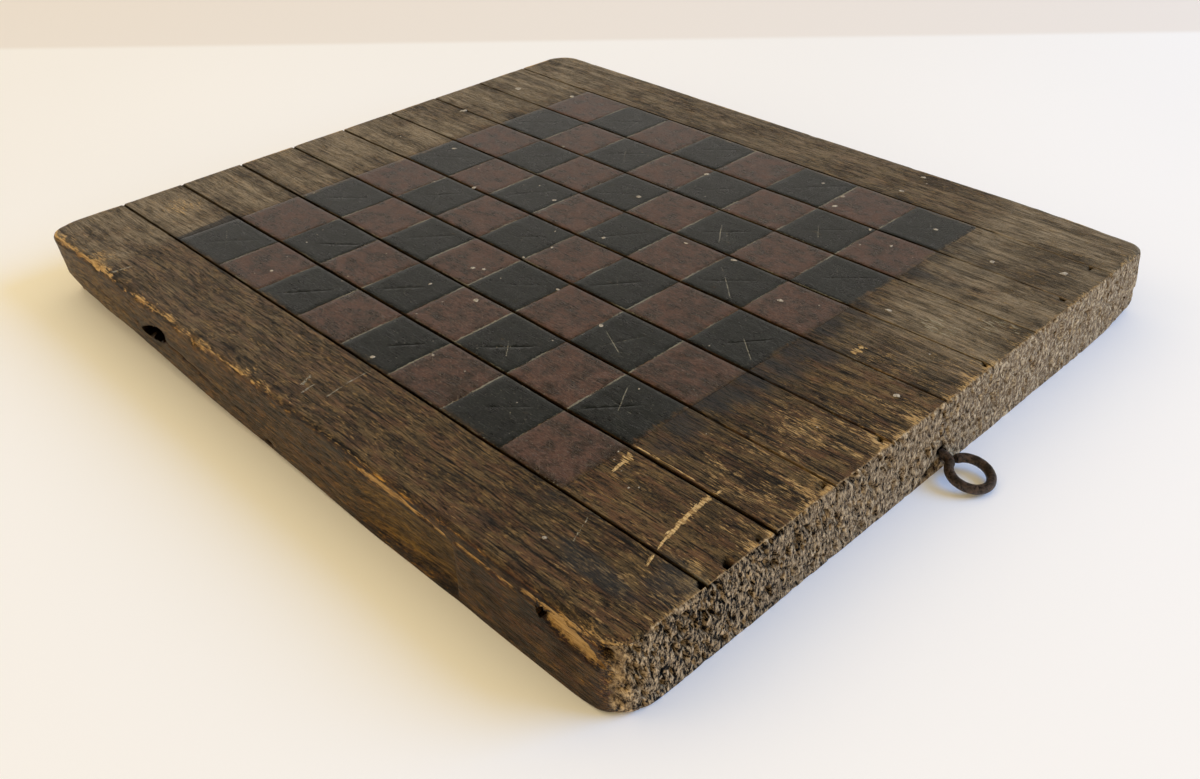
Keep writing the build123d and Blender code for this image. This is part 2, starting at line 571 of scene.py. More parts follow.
@dataclass(frozen=True)
class OldOilPaint:
    """Oil paint brushed thin on bare pine long ago and played on since.

    The eye sees a dull, chalky film with the grain telegraphing through it, thin at its rim, worn to
    the brown wood in streaks, and with small pale chips. The brush marks and crackle are drawn about
    0.4 mm wide, several times coarser than they are, so that they show.

    Attributes:
        name: The material's name.
        thin: Colour where the film is thin or dirty.
        full: Colour where the film is whole.
        cut: Colour of the dark scratched lines, painted shade.
        pore: Colour of its open pores.
        chalk: Colour where it is rubbed.
        wood: The finish of what lies under it.
        chip: Colour of its small chips.
        crackle_relief: Height of its crackle, in mm.
    """

    name: str
    thin: str
    full: str
    cut: str
    pore: str
    chalk: str
    wood: AgedPine
    chip: str = "#8d8674"
    crackle_relief: float = 0.09

    def material(self) -> Material:
        """Makes the paint's material.

        Returns:
            The finished material.
        """
        weave = Weave.named(self.name)
        under, _, wood_height = self.wood.colour(weave)
        brush = weave.noise((0.4, 6.0, 0.4), 4.0, 21.0, roughness=0.75)
        patch = weave.noise((5.0, 7.0, 5.0), 5.0, 23.0, roughness=0.68)
        stain = weave.noise((3.6, 5.0, 3.6), 4.0, 43.0, roughness=0.7)
        speck = weave.noise((0.5, 0.9, 0.5), 2.0, 27.0)
        crackle = weave.noise((0.4, 1.5, 0.4), 4.0, 29.0, roughness=0.78)
        rubbed = weave.noise((0.24, 7.0, 1.0), 2.0, 33.0, (0.0, 0.0, 40.0))
        rubbed = rubbed.higher(weave.noise((0.24, 6.0, 1.0), 2.0, 37.0, (0.0, 0.0, -44.0)))
        tone = brush * 0.45 + patch * 0.55
        film = tone.ramp(0.43, 0.57).blend(self.thin, self.full)
        film = stain.ramp(0.54, 0.7, 0.0, 0.5).blend(film, self.pore)
        film = crackle.ramp(0.47, 0.37, 0.0, 0.8).blend(film, self.pore)
        film = crackle.ramp(0.55, 0.68, 0.0, 0.5).blend(film, self.chalk)
        film = rubbed.ramp(0.63, 0.71, 0.0, 0.4).blend(film, self.chalk)
        film = speck.ramp(0.64, 0.74, 0.0, 0.6).blend(film, self.chip)
        worn = tone + weave.painted(Mask.RIM) * 0.17 + crackle * 0.25
        colour = worn.ramp(0.72, 0.83, 0.0, 0.85).blend(film, under)
        # The dark scratched lines take the cut colour as painted shade.
        colour = weave.painted(Mask.SHADED_CUT).blend(colour, self.cut)
        # Pale dust, and the pale scratched lines as a painted highlight, take the dust colour.
        dusty = weave.painted(Mask.DUST_AND_HIGHLIGHT) * 0.5 + weave.noise((0.8, 1.0, 0.8), 2.0, 19.0)
        colour = dusty.ramp(0.72, 0.88, 0.0, 0.8).blend(colour, self.wood.dust)
        height = wood_height * 0.25 + crackle * (self.crackle_relief * MM)
        return weave.finish(colour, tone.ramp(0.35, 0.7, 0.26, 0.42), height)


@dataclass(frozen=True)
class RustedWire:
    """Drawn iron wire, bent cold, blackened and lightly rusted.

    The eye sees near-black brown metal with a dull sheen and patches of dusty light-brown rust. The
    grains of rust are drawn 0.8 mm wide, several times coarser than they are, so that they show.

    Attributes:
        iron: Colour of the blackened metal.
        rust: Colour of the rust on it.
        deep: Colour of its scale's pits.
        relief: Height of its scale, in mm.
    """

    iron: str = "#40362e"
    rust: str = "#574336"
    deep: str = "#1d1611"
    relief: float = 0.16

    def material(self) -> Material:
        """Makes the wire's material.

        Returns:
            The finished material.
        """
        weave = Weave.named("drawn_iron_wire_rusted")
        scale = weave.noise((0.8, 0.8, 0.8), 4.0, 1.0)
        patch = weave.noise((3.0, 3.0, 3.0), 3.0, 2.0)
        rusty = (scale * 0.5 + patch * 0.5).ramp(0.46, 0.62)
        colour = rusty.blend(scale.ramp(0.32, 0.5).blend(self.deep, self.iron), self.rust)
        height = scale * (self.relief * MM)
        return weave.finish(colour, rusty * 0.2 + 0.4, height, metallic=0.55 - rusty * 0.4)


@dataclass(frozen=True)
class DrySpecks:
    """Bits that stand on the board's skin: dried drops of old paint, or wood and dirt scraped up raw.

    The eye sees dull, pale specks with darker grime in their grain, which is drawn about 0.5 mm
    wide, coarser than it is, so that it shows.

    Attributes:
        name: The material's name.
        dark: Colour of the grime.
        pale: Colour of the clean parts.
        grain: Length of one grain along x, y and z, in mm.
        detail: How many finer layers the grain has.
        shift: Moves the grain, so that two finishes differ.
        span: Where the grain turns from grime to clean.
        roughness: The lowest and the highest roughness.
        relief: Height of the grain, in mm.
        gloss: Specular level.
    """

    name: str
    dark: str
    pale: str
    grain: Triple = (0.5, 5.0, 0.5)
    detail: float = 3.0
    shift: float = 6.0
    span: Pair = (0.36, 0.6)
    roughness: Pair = (0.6, 0.8)
    relief: float = 0.15
    gloss: float = 0.3

    def material(self) -> Material:
        """Makes the specks' material.

        Returns:
            The finished material.
        """
        weave = Weave.named(self.name)
        grain = weave.noise(self.grain, self.detail, self.shift)
        colour = grain.ramp(*self.span).blend(self.dark, self.pale)
        rough = grain.ramp(0.3, 0.7, *self.roughness)
        return weave.finish(colour, rough, grain * (self.relief * MM), self.gloss)


def make_mesh(
    name: str,
    points: Array,
    faces: Sequence[Sequence[int]],
    map_points: Sequence[Sequence[Pair]] | None,
    masks: Masks,
) -> Object:
    """Makes a mesh object, smooth but at edges over SHARP_DEGREES, with its masks and baking map.

    Args:
        name: The object's name.
        points: Vertices in mm.
        faces: Vertex numbers of each face, counter-clockwise from outside.
        map_points: For each face, the place of each corner on the map, from 0 to 1.
        masks: For each mask, a value at each vertex.

    Returns:
        The object, linked to the scene.
    """
    mesh = bpy.data.meshes.new(name)
    mesh.from_pydata((points * MM).tolist(), [], faces)
    mesh.polygons.foreach_set("use_smooth", np.ones(len(mesh.polygons), bool))
    for mask, values in masks.items():
        layer = mesh.attributes.new(mask.value, "FLOAT", "POINT")
        layer.data.foreach_set("value", held(values).astype(np.float32))
    if map_points is not None:
        chart = mesh.uv_layers.new(name="OFBake")
        flat = np.array([corner for face in map_points for corner in face], np.float32)
        chart.data.foreach_set("uv", flat.ravel())
    mesh.update()
    mesh.set_sharp_from_angle(angle=math.radians(SHARP_DEGREES))
    made = bpy.data.objects.new(name, mesh)
    bpy.context.scene.collection.objects.link(made)
    return made


def facing_up(face: Sequence[int], points: Sequence[Sequence[float]]) -> list[int]:
    """Turns a flat face so that it runs counter-clockwise as seen from above.

    Args:
        face: Vertex numbers.
        points: Vertices, of which x and y count.

    Returns:
        The face's vertex numbers in that order.
    """
    a, b, c = (points[n] for n in face[:3])
    turn = (b[0] - a[0]) * (c[1] - a[1]) - (b[1] - a[1]) * (c[0] - a[0])
    return list(face) if turn > 0 else list(face)[::-1]


@dataclass(frozen=True)
class PlayingField:
    """The lines that were scored by hand for the eight by eight squares, with their wander.

    Attributes:
        first_line: x of the first long line, in mm.
        square_width: Distance between long lines, in mm.
        back_wander: How far each long line strays in x at the back end, in mm.
        front_wander: The same at the front end.
        first_row: y of the front cross line, in mm.
        square_length: Distance between cross lines, in mm.
        row_wander: How far each cross line strays in y, in mm.
        groove_depths: Depth of each long line's saw cut, in mm.
        groove_half_widths: Half the width of each long line, in mm.
        lip: Width of the worn edge beside it, in mm.
        cross_half_width: Half the width of a cross line, in mm.
        cross_dust: How far pale dust lies on either side of it, in mm.
        cross_depth: Its depth, in mm.
    """

    first_line: float = -113.8
    square_width: float = 28.7
    back_wander: tuple[float, ...] = (0.8, -0.3, 0.5, -0.6, -1.0, -1.4, -2.4, -1.8, 0.3)
    front_wander: tuple[float, ...] = (-0.1, 0.0, -1.1, -1.1, 0.3, -0.5, -0.4, -0.8, -0.4)
    first_row: float = -109.9
    square_length: float = 28.3
    row_wander: tuple[float, ...] = (-0.1, -0.3, 0.5, 0.5, -0.2, -1.2, -1.7, -2.5, 0.2)
    groove_depths: tuple[float, ...] = (1.2, 1.2, 1.2, 1.2, 1.2, 1.1, 1.0, 0.8, 0.7)
    groove_half_widths: tuple[float, ...] = (0.6, 0.75, 0.72, 0.68, 0.68, 0.6, 0.55, 0.5, 0.45)
    lip: float = 0.4
    cross_half_width: float = 0.15
    cross_dust: float = 0.65
    cross_depth: float = 0.14

    def long_lines(self) -> list[float]:
        """Returns the x of each long line before it strays, in mm."""
        return [self.first_line + self.square_width * k for k in range(9)]

    def cross_lines(self) -> list[float]:
        """Returns the y of each cross line before it strays, in mm."""
        return [self.first_row + self.square_length * k for k in range(9)]

    def stops_across(self) -> list[float]:
        """Returns the columns that draw the long lines' shape, in mm."""
        stops = []
        for line, half in zip(self.long_lines(), self.groove_half_widths):
            near, far = 0.75 * half, half + self.lip
            stops.extend(line + offset for offset in (-far, -half, -near, 0.0, near, half, far))
        return stops

    def stops_along(self) -> list[float]:
        """Returns the rows that draw the cross lines' shape, in mm."""
        near, far = self.cross_half_width, self.cross_dust
        offsets = (-far, -near, 0.0, near, far)
        return [line + offset for line in self.cross_lines() for offset in offsets]


@dataclass(frozen=True)
class Wound:
    """A place on the left side where the dark skin is broken; its black, where it has one, is dirt and
    painted shade in its hollow.

    Attributes:
        start: y and z of its first end, in mm.
        end: y and z of its other end, in mm.
        half_width: Half its width, in mm.
        depth: How deep it goes, in mm.
        bare: How much raw wood shows, from 0 to 1.
        soot_and_shade: How black it is, from 0 to 1.
        broken: True where it comes and goes along its way.
    """

    start: Pair
    end: Pair
    half_width: float
    depth: float
    bare: float = 0.0
    soot_and_shade: float = 0.0
    broken: bool = False


@dataclass
class Plank:
    """The board itself: one softwood plank, worn round at every edge.

    Attributes:
        lines: The lines that are scored in it.
        width: Across the grain, in mm.
        length: Along the grain, in mm.
        thickness: From underside to top, in mm.
        corner_radii: Plan radii of the front left, front right, back right and back left corner, in mm.
        inset: Width of the arris that the side walls draw, in mm.
        column_step: Largest distance between columns of the top's mesh, in mm.
        row_step: Largest distance between its rows, in mm.
        ring_step: Distance between the rings of the side walls, in mm.
        under_step: Distance between points of the underside, in mm.
        paint_recess: How far the wood lies lower under the paint, in mm.
        recess_margin: How far that starts from the lines, in mm.
        eye_place: Where the screw eye's axis meets the front end, in mm.
        eye_droop: How far the eye points below the level, in degrees.
        bore_radius: Radius of the hole round its shank, in mm.
        bore_depth: Depth of that hole, in mm.
        nail_place: y and z of the nail hole in the left side, in mm.
        nail_radius: Radius of the nail hole, in mm.
        nail_depth: Its depth, in mm.
        map_fall: How far down the walls reach on the baking map, in mm.
        noise: Source of its unevenness.
        pricks: x, y and radius of the awl's holes at the front ends of the lines, in mm.
        wounds: Where the skin of the left side is broken.
    """

    lines: PlayingField
    width: float = 294.0
    length: float = 334.0
    thickness: float = 28.6
    corner_radii: tuple[float, float, float, float] = (9.5, 7.5, 12.0, 9.0)
    inset: float = 0.7
    column_step: float = 1.45
    row_step: float = 2.3
    ring_step: float = 0.95
    under_step: float = 6.0
    paint_recess: float = 0.3
    recess_margin: float = 0.2
    eye_place: Triple = (3.9, -167.0, 6.0)
    eye_droop: float = 12.0
    bore_radius: float = 1.85
    bore_depth: float = 22.6
    nail_place: Pair = (-137.0, 22.0)
    nail_radius: float = 1.35
    nail_depth: float = 9.0
    map_fall: float = 33.0
    noise: ValueNoise = field(default_factory=lambda: ValueNoise(11))
    pricks: tuple[Triple, ...] = (
        (-114.8, -164.8, 0.9), (-103.7, -164.5, 1.3), (-90.8, -164.2, 0.8), (-59.3, -162.9, 0.8),
        (-29.8, -162.2, 0.8), (28.2, -163.5, 0.8), (85.2, -161.7, 0.8), (113.9, -157.9, 0.8),
    )
    wounds: tuple[Wound, ...] = (
        Wound((-50.0, 24.6), (-92.0, 23.8), 1.9, 0.8, bare=0.62),
        Wound((-84.0, 23.6), (-99.0, 22.6), 0.9, 0.5, bare=0.62),
        Wound((-94.5, 15.0), (-97.5, 4.0), 3.0, 0.3, bare=0.45, broken=True),
        # A dark line just in front of the scoop on the left side: painted shade below its ridge.
        Wound((-100.4, 17.0), (-100.8, 4.0), 0.8, 0.5, soot_and_shade=0.45, broken=True),
        Wound((-101.0, 23.6), (-128.0, 23.2), 0.9, 0.6, bare=0.62),
        Wound((-138.0, 22.4), (-159.5, 19.0), 3.4, 1.8, bare=0.78),
        Wound((-128.0, 25.0), (-158.0, 25.6), 1.3, 0.7, bare=0.66),
        Wound((-159.5, 25.0), (-164.5, 22.0), 1.7, 2.2, soot_and_shade=0.9),
        Wound((72.0, 16.2), (35.7, 11.8), 0.55, 0.8, soot_and_shade=0.85),
        Wound((35.7, 11.4), (8.0, 9.5), 0.4, 0.4, soot_and_shade=0.6),
        Wound((150.0, 17.5), (88.0, 15.0), 0.4, 0.3, soot_and_shade=0.4),
        Wound((-20.0, 15.0), (-70.0, 12.0), 0.4, 0.4, soot_and_shade=0.5),
        Wound((162.0, 27.0), (138.0, 27.2), 1.2, 0.6, bare=0.5, broken=True),
        Wound((100.0, 26.9), (76.0, 26.6), 0.9, 0.6, bare=0.7, broken=True),
        Wound((60.0, 26.6), (10.0, 26.0), 1.3, 0.8, bare=0.66, broken=True),
        Wound((6.0, 25.4), (-14.0, 24.6), 1.3, 0.8, bare=0.66, broken=True),
    )

    def columns(self) -> Array:
        """Returns the x of the top's columns before they are bent, in mm."""
        edge = self.width / 2 - self.inset
        return spread([-edge, -edge + 2.4, *self.lines.stops_across(), edge - 2.4, edge], self.column_step)

    def rows(self) -> Array:
        """Returns the y of the top's rows before they are bent, in mm."""
        edge = self.length / 2 - self.inset
        fine = [-edge, *np.arange(-edge + 1.0, -156.0, 1.0), *np.arange(-139.2, -134.6, 0.7)]
        hollow, scoop = np.arange(66.0, 92.0, 1.3), np.arange(-102.0, -94.0, 1.0)
        lines = self.lines.stops_along()
        wanted = (*fine, *hollow, *scoop, edge - 2.4, edge)
        clear = [y for y in wanted if min(abs(y - line) for line in lines) > 0.3]
        return spread(sorted([*clear, *lines]), self.row_step)

    def corners(self) -> list[Triple]:
        """Returns the sign in x, the sign in y and the radius of each corner."""
        signs = ((-1.0, -1.0), (1.0, -1.0), (1.0, 1.0), (-1.0, 1.0))
        return [(sx, sy, radius) for (sx, sy), radius in zip(signs, self.corner_radii)]

    def round_corners(self, flat: Array) -> tuple[Array, Array, Array]:
        """Bends the corners of a rectangle of points round.

        Args:
            flat: Points of the inset rectangle, x and y in mm.

        Returns:
            The bent points, how far each lies inside the outline, and its outward direction.
        """
        bent = flat.copy()
        gaps = np.stack([self.width / 2 - np.abs(flat[:, 0]), self.length / 2 - np.abs(flat[:, 1])], -1)
        near_side = gaps[:, 0] < gaps[:, 1]
        depth = gaps.min(axis=1)
        outward = np.where(near_side[:, None], np.sign(flat) * [1.0, 0.0], np.sign(flat) * [0.0, 1.0])
        for sx, sy, radius in self.corners():
            centre = np.array([sx * (self.width / 2 - radius), sy * (self.length / 2 - radius)])
            local = (flat - centre) * [sx, sy] / (radius - self.inset)
            inside = (local > 0.0).all(axis=1)
            a, b = local[inside, 0], local[inside, 1]
            disc = np.stack([a * np.sqrt(1.0 - b * b / 2.0), b * np.sqrt(1.0 - a * a / 2.0)], -1)
            reach = np.linalg.norm(disc, axis=1)
            bent[inside] = centre + disc * (radius - self.inset) * [sx, sy]
            depth[inside] = radius - reach * (radius - self.inset)
            outward[inside] = disc / np.maximum(reach, 1e-9)[:, None] * [sx, sy]
        return bent, depth, outward

    def edge_wear(self, place: Array) -> Array:
        """Says how far the outline has worn in from the full rectangle.

        Args:
            place: Points near the outline, x and y in mm.

        Returns:
            How far each point moves in from its side, in x and in y, in mm.
        """
        x, y = place[:, 0], place[:, 1]
        solid = raised(place)
        ripple = 0.02 + 0.1 * self.noise.at(solid, (34.0, 34.0, 34.0), 2)
        nick = np.maximum(self.noise.at(solid + 19.0, (8.0, 8.0, 8.0), 2), 0.0)
        right = np.interp(y, [-167, -150, -138, -120, -60], [1.1, 1.2, 0.8, 0.2, 0.0])
        right += nick * np.interp(y, [-167, -150, -105, -80, 167], [0.3, 1.3, 1.0, 0.2, 0.1])
        stops = [-167, -120, -101, -60, 0, 80, 120, 167]
        left = np.interp(y, stops, [0.1, 0.0, 0.3, 0.0, 0.1, 0.0, 0.1, 0.0])
        front = np.interp(x, [-147, -100, 40, 100, 125, 147], [0.1, 0.0, 0.0, 0.1, 0.5, 0.8]) + 0.12 * nick
        front += 0.5 * np.maximum(self.noise.at(solid + 27.0, (3.2, 3.2, 3.2), 2), 0.0)
        back = np.interp(x, [-147, -60, 60, 147], [0.0, 0.0, 0.0, 0.1])
        across = np.maximum(np.where(x > 0.0, right, left) + ripple, 0.0)
        along = np.maximum(np.where(y > 0.0, back, front) + ripple, 0.0)
        return np.stack([across, along], -1)

    def bend(self, place: Array) -> Array:
        """Moves points from the ruled drawing to the hand-scored, worn board.

        Args:
            place: Points of the ruled drawing, x and y in mm.

        Returns:
            The same points where they really are.
        """
        x, y = place[:, 0], place[:, 1]
        lines = self.lines.long_lines()
        half, end = self.width / 2, self.length / 2
        back = np.interp(x, [-half, *lines, half], [0.0, *self.lines.back_wander, 0.0])
        front = np.interp(x, [-half, *lines, half], [0.0, *self.lines.front_wander, 0.0])
        share = held((y + end) / self.length)
        solid = raised(place * [0.4, 1.0])
        inner = held((half - np.abs(x)) / 20.0)
        hand = 0.22 * self.noise.at(solid, (30.0, 26.0, 30.0), 2) * inner
        shift_x = front + (back - front) * share + hand
        rows = self.lines.cross_lines()
        shift_y = np.interp(y, [-end, *rows, end], [0.0, *self.lines.row_wander, 0.0])
        shift_y -= 0.012 * x * smoothstep(60.0, 110.0, y) * held((end - y) / 40.0)
        ends = held((end - np.abs(y)) / 20.0)
        shift_y += 0.2 * self.noise.at(solid * [2.5, 1.0, 1.0] + 9.0, (3.4, 3.4, 3.4)) * inner * ends
        wear = self.edge_wear(place)
        hold = held(1.0 - (np.stack([half - np.abs(x), end - np.abs(y)], -1)) / 24.0)
        return np.stack([x + shift_x, y + shift_y], -1) - np.sign(place) * wear * hold

    def arris(self, place: Array) -> Array:
        """Returns the radius of the worn top edge near each point, in mm."""
        x, y = place[:, 0], place[:, 1]
        solid = raised(place)
        radius = 0.95 + 0.4 * self.noise.at(solid, (13.0, 13.0, 13.0), 2)
        radius -= 0.2 * np.maximum(smoothstep(100.0, 140.0, x), smoothstep(120.0, 160.0, y))
        chip = smoothstep(0.15, 0.75, self.noise.at(solid, (5.5, 5.5, 5.5), 2))
        radius += chip * (0.7 + 1.6 * smoothstep(-138.0, -143.0, x) + 0.9 * smoothstep(-158.0, -163.0, y))
        radius += smoothstep(-130.0, -143.0, x) * (0.7 + 0.7 * smoothstep(-40.0, 10.0, y))
        corner = hill(x, y, (147.0, -167.0), (22.0, 22.0))
        near = hill(x, y, (-147.0, -167.0), (16.0, 16.0))
        return np.maximum(radius + 2.4 * corner + 1.6 * near, self.inset + 0.15)

    def belly(self, place: Array, outward: Array, z: Array) -> Array:
        """Returns how far the front right corner stands out below its worn top, in mm."""
        wear = self.edge_wear(place)
        much = wear[:, 0] * np.abs(outward[:, 0]) + wear[:, 1] * np.abs(outward[:, 1])
        near = hill(place[:, 0], place[:, 1], (147.0, -167.0), (26.0, 36.0))
        return 0.92 * much * near * smoothstep(26.0, 12.0, z)

    def dish(self, place: Array) -> Array:
        """Returns how far wear and shrinkage have lowered the top at each point, in mm."""
        solid = raised(place)
        swell = self.noise.at(solid, (55.0, 90.0, 60.0), 2)
        ridge = self.noise.at(solid + 90.0, (4.2, 130.0, 10.0), 2)
        return 0.2 - 0.12 * swell - 0.07 * ridge

    def surface(
        self, ruled: Array, place: Array, depth: Array
    ) -> tuple[Array, Array]:
        """Finds the height of the worn top.

        Args:
            ruled: Points of the ruled drawing, x and y in mm.
            place: The same points where they really are.
            depth: How far each point lies inside the outline, in mm.

        Returns:
            The height in mm, and how black the lines are, from 0 to 1.
        """
        top = self.thickness - self.dish(place)
        radius = self.arris(place)
        inner = np.clip(radius - depth, 0.0, radius)
        top -= radius - np.sqrt(np.maximum(radius**2 - inner**2, 0.0))
        cut, soot_and_shade = self.scored(ruled, place)
        for x, y, size in self.pricks:
            away = np.hypot(place[:, 0] - x, place[:, 1] - y)
            cut = np.maximum(cut, 2.0 * (1.0 - smoothstep(size * 0.6, size * 1.35, away)))
            # The awl's holes are blackened: painted shade in them.
            soot_and_shade = np.maximum(soot_and_shade, 1.0 - smoothstep(size * 0.9, size * 1.6, away))
        return top - cut, soot_and_shade

    def scored(self, ruled: Array, place: Array) -> tuple[Array, Array]:
        """Finds the depth of the scored lines.

        Args:
            ruled: Points of the ruled drawing, x and y in mm.
            place: The same points where they really are.

        Returns:
            The depth in mm, and how black each point is, from 0 to 1.
        """
        u, v = ruled[:, 0], ruled[:, 1]
        rough = self.noise.at(raised(place), (20.0, 6.0, 20.0), 2)
        cut, soot_and_shade = np.zeros(len(u)), np.zeros(len(u))
        lines = self.lines
        fresh = 1.0 - 0.5 * smoothstep(112.0, 128.0, v)
        for line, deep, half in zip(lines.long_lines(), lines.groove_depths, lines.groove_half_widths):
            away = np.abs(u - line)
            fresh = fresh * (1.0 - 0.35 * smoothstep(-114.0, -124.0, v) * (line > 40.0))
            half = half * (1.0 - 0.5 * smoothstep(-112.0, -120.0, v) * (line > -60.0))
            wall = held((1.0 - away / half) / 0.25)
            bed = held(1.0 - away / half)
            lip = held(1.0 - away / (half + lines.lip))
            fade = 1.0 + 0.2 * rough
            cut = np.maximum(cut, fade * (deep * fresh * (0.8 * wall + 0.2 * bed) + 0.08 * lip))
            # The long lines are blackened, more where they are cut deeper: dirt, and painted shade in the
            # cut.
            black = held((1.0 - away / half) / 0.25 + 0.5)
            soot_and_shade = np.maximum(soot_and_shade, black * held(1.4 * deep * fresh))
        inside = (u > lines.long_lines()[0] - 1.5) & (u < lines.long_lines()[-1] + 1.5)
        for line in lines.cross_lines():
            wall = held(1.0 - np.abs(v - line) / lines.cross_half_width) * inside
            patchy = np.clip(0.65 + 0.6 * rough, 0.1, 1.0)
            cut = np.maximum(cut, lines.cross_depth * wall * patchy)
            soot_and_shade = np.maximum(soot_and_shade, 0.3 * wall * (1.0 - patchy))
        return cut, soot_and_shade

    def foot(self, place: Array, outward: Array) -> tuple[Array, Array, Array]:
        """Finds how the bottom edge is worn.

        Args:
            place: Points of the outline, x and y in mm.
            outward: Outward direction at each.

        Returns:
            How far the wear reaches in under the board and how high, in mm, and how flat it is, from
            0 to 1.
        """
        x, y = place[:, 0], place[:, 1]
        rough = self.noise.at(raised(place, 50.0), (11.0, 11.0, 11.0), 2)
        reach = 0.5 + 0.35 * rough
        high = 0.55 + 0.4 * rough
        corner = hill(x, y, (147.0, -167.0), (17.0, 17.0))
        near = hill(x, y, (-147.0, -167.0), (9.0, 9.0))
        reach += 6.0 * corner + 4.5 * near
        high += 7.0 * corner + 5.0 * near
        rise = np.interp(
            y, [-90, -60, -40, -20, 0, 20, 40, 60, 80, 100, 120, 130, 140, 150, 167],
            [0.0, 0.4, 1.3, 2.2, 2.7, 3.3, 4.0, 5.2, 6.9, 8.2, 8.5, 9.4, 9.7, 10.3, 10.8],
        )
        left = held(-outward[:, 0])
        high += left * (rise - 0.3)
        reach += left * (0.62 * rise - 0.25)
        return reach, high, left * smoothstep(0.5, 3.0, rise)

    def bite(
        self, place: Array, outward: Array, z: Array
    ) -> tuple[Array, Masks]:
        """Finds how far the side walls are eaten in.

        Args:
            place: Points of the walls, x and y in mm.
            outward: Outward direction at each.
            z: Height of each, in mm.

        Returns:
            The depth in mm, and the masks at each point.
        """
        x, y = place[:, 0], place[:, 1]
        solid = raised(place, z)
        ends = smoothstep(0.1, 0.97, np.abs(outward[:, 1]))
        sides = 1.0 - ends
        lean = solid + np.column_stack([0.35 * z, np.zeros((len(z), 2))])
        coarse = self.noise.at(lean + 7.0, (1.3, 40.0, 2.6), 2)
        stops = [-147, -132, -105, -60, 0, 50, 147]
        rotten = np.interp(x, stops, [0.45, 0.8, 0.8, 0.55, 0.35, 0.12, 0.1])
        rotten = np.where(outward[:, 1] > 0.0, 0.5, rotten)
        cluster = hill(x, z, (-121.0, 18.0), (9.0, 9.0)) * (outward[:, 1] < 0.0)
        whole = hump(x, 147.0, 9.0)
        strong = (0.45 + 0.6 * rotten) * (1.0 - 0.8 * whole)
        pits = smoothstep(0.12 - 0.25 * cluster, 0.62, coarse) * (2.1 + 1.3 * cluster) * strong
        swell = 0.5 + 0.5 * self.noise.at(solid + 40.0, (9.0, 40.0, 9.0), 2)
        depth = ends * (pits + 0.3 * swell)
        fibres = self.noise.at(solid + 60.0, (40.0, 34.0, 2.2), 2)
        depth += sides * (0.06 + 0.12 * fibres)
        far = hill(x, y, (-147.0, 167.0), (20.0, 17.0))
        depth += 3.4 * far * held(1.0 - z / 27.0)
        bare = np.zeros(len(z))
        # The deep pits of the ends are blackened, more where they sink deeper: painted shade, and dirt.
        soot_and_shade = ends * smoothstep(0.3 - 0.3 * cluster, 0.75 - 0.25 * cluster, coarse) * 0.85 * strong
        left = smoothstep(-0.7, -0.95, outward[:, 0])
        flat = np.column_stack([y, z])
        frayed = 1.0 + 0.35 * self.noise.at(solid + 20.0, (6.0, 5.0, 1.5), 2)
        for wound in self.wounds:
            away, share = near_segment(flat, wound.start, wound.end)
            width = wound.half_width * frayed * np.sqrt(np.clip(4.0 * share * (1.0 - share), 0.12, 1.0))
            hit = left * (1.0 - smoothstep(0.75, 1.1, away / width))
            if wound.broken:
                hit *= smoothstep(-0.05, 0.25, self.noise.at(solid + 77.0, (9.0, 6.5, 9.0), 2))
            depth += wound.depth * hit
            bare = np.maximum(bare, wound.bare * hit)
            soot_and_shade = np.maximum(soot_and_shade, wound.soot_and_shade * hit)
        tilt = math.radians(-13.0)
        du, dv = y - 79.0, z - 16.0
        along = du * math.cos(tilt) + dv * math.sin(tilt)
        over = dv * math.cos(tilt) - du * math.sin(tilt)
        fat = 2.4 * (1.0 - 0.045 * along)
        lens = held(1.0 - (along / 9.8) ** 2 - (over / fat) ** 2)
        depth += left * 8.0 * np.sqrt(lens)
        # The hollow's mouth is drawn black all over: painted shade in the hollow.
        mouth = 1.0 - (along / 11.0) ** 2 - (over / (fat + 0.6)) ** 2
        soot_and_shade = np.maximum(soot_and_shade, left * smoothstep(-0.05, 0.1, mouth))
        grime = self.noise.at(solid + 83.0, (6.0, 9.0, 4.0), 3)
        dirty = left * (1.0 - bare) * smoothstep(-70.0, -110.0, y)
        soot_and_shade = np.maximum(soot_and_shade, dirty * np.clip(0.2 + 0.9 * grime, 0.0, 0.5))
        scoop = smoothstep(-100.5, -98.5, y) * smoothstep(-40.0, -70.0, y)
        scoop *= smoothstep(0.5, 5.0, z) * smoothstep(24.5, 17.0, z)
        depth += left * 2.5 * scoop
        slope = z - 3.2 - 0.35 * (x + 3.0)
        splinter = hill(x, slope, (-3.0, 0.0), (3.8, 1.5)) * (outward[:, 1] < -0.9)
        socket = hill(x, z, (2.2, 8.4), (2.6, 1.9)) * (outward[:, 1] < -0.9)
        depth += 1.8 * splinter + 0.9 * socket
        # Painted shade in the splinter's notch at the front end, and a painted shadow in the socket above and
        # left of the shank.
        soot_and_shade = np.maximum(soot_and_shade, 0.8 * smoothstep(0.1, 0.6, splinter))
        soot_and_shade = np.maximum(soot_and_shade, smoothstep(0.15, 0.6, socket))
        nick = hill(y, z, (3.0, 4.0), (3.0, 1.3))
        depth += left * 1.2 * nick
        soot_and_shade = np.maximum(soot_and_shade, left * nick)
        corner = hill(x, y, (-147.0, -167.0), (8.0, 9.0))
        bare = np.maximum(bare, 0.5 * corner * smoothstep(2.0, 12.0, z))
        grey = 0.2 * smoothstep(-120.0, -60.0, y) + 0.45 * left * scoop
        grey += 0.3 * left * smoothstep(20.0, 130.0, y)
        masks = {Mask.BARE: bare, Mask.SOOT_AND_SHADE: soot_and_shade, Mask.END: ends, Mask.CRUMB: rotten, Mask.GREY_AND_SHEEN: grey}
        return np.maximum(depth, 0.0), {**masks, Mask.OILY: sides * (1.0 - bare)}

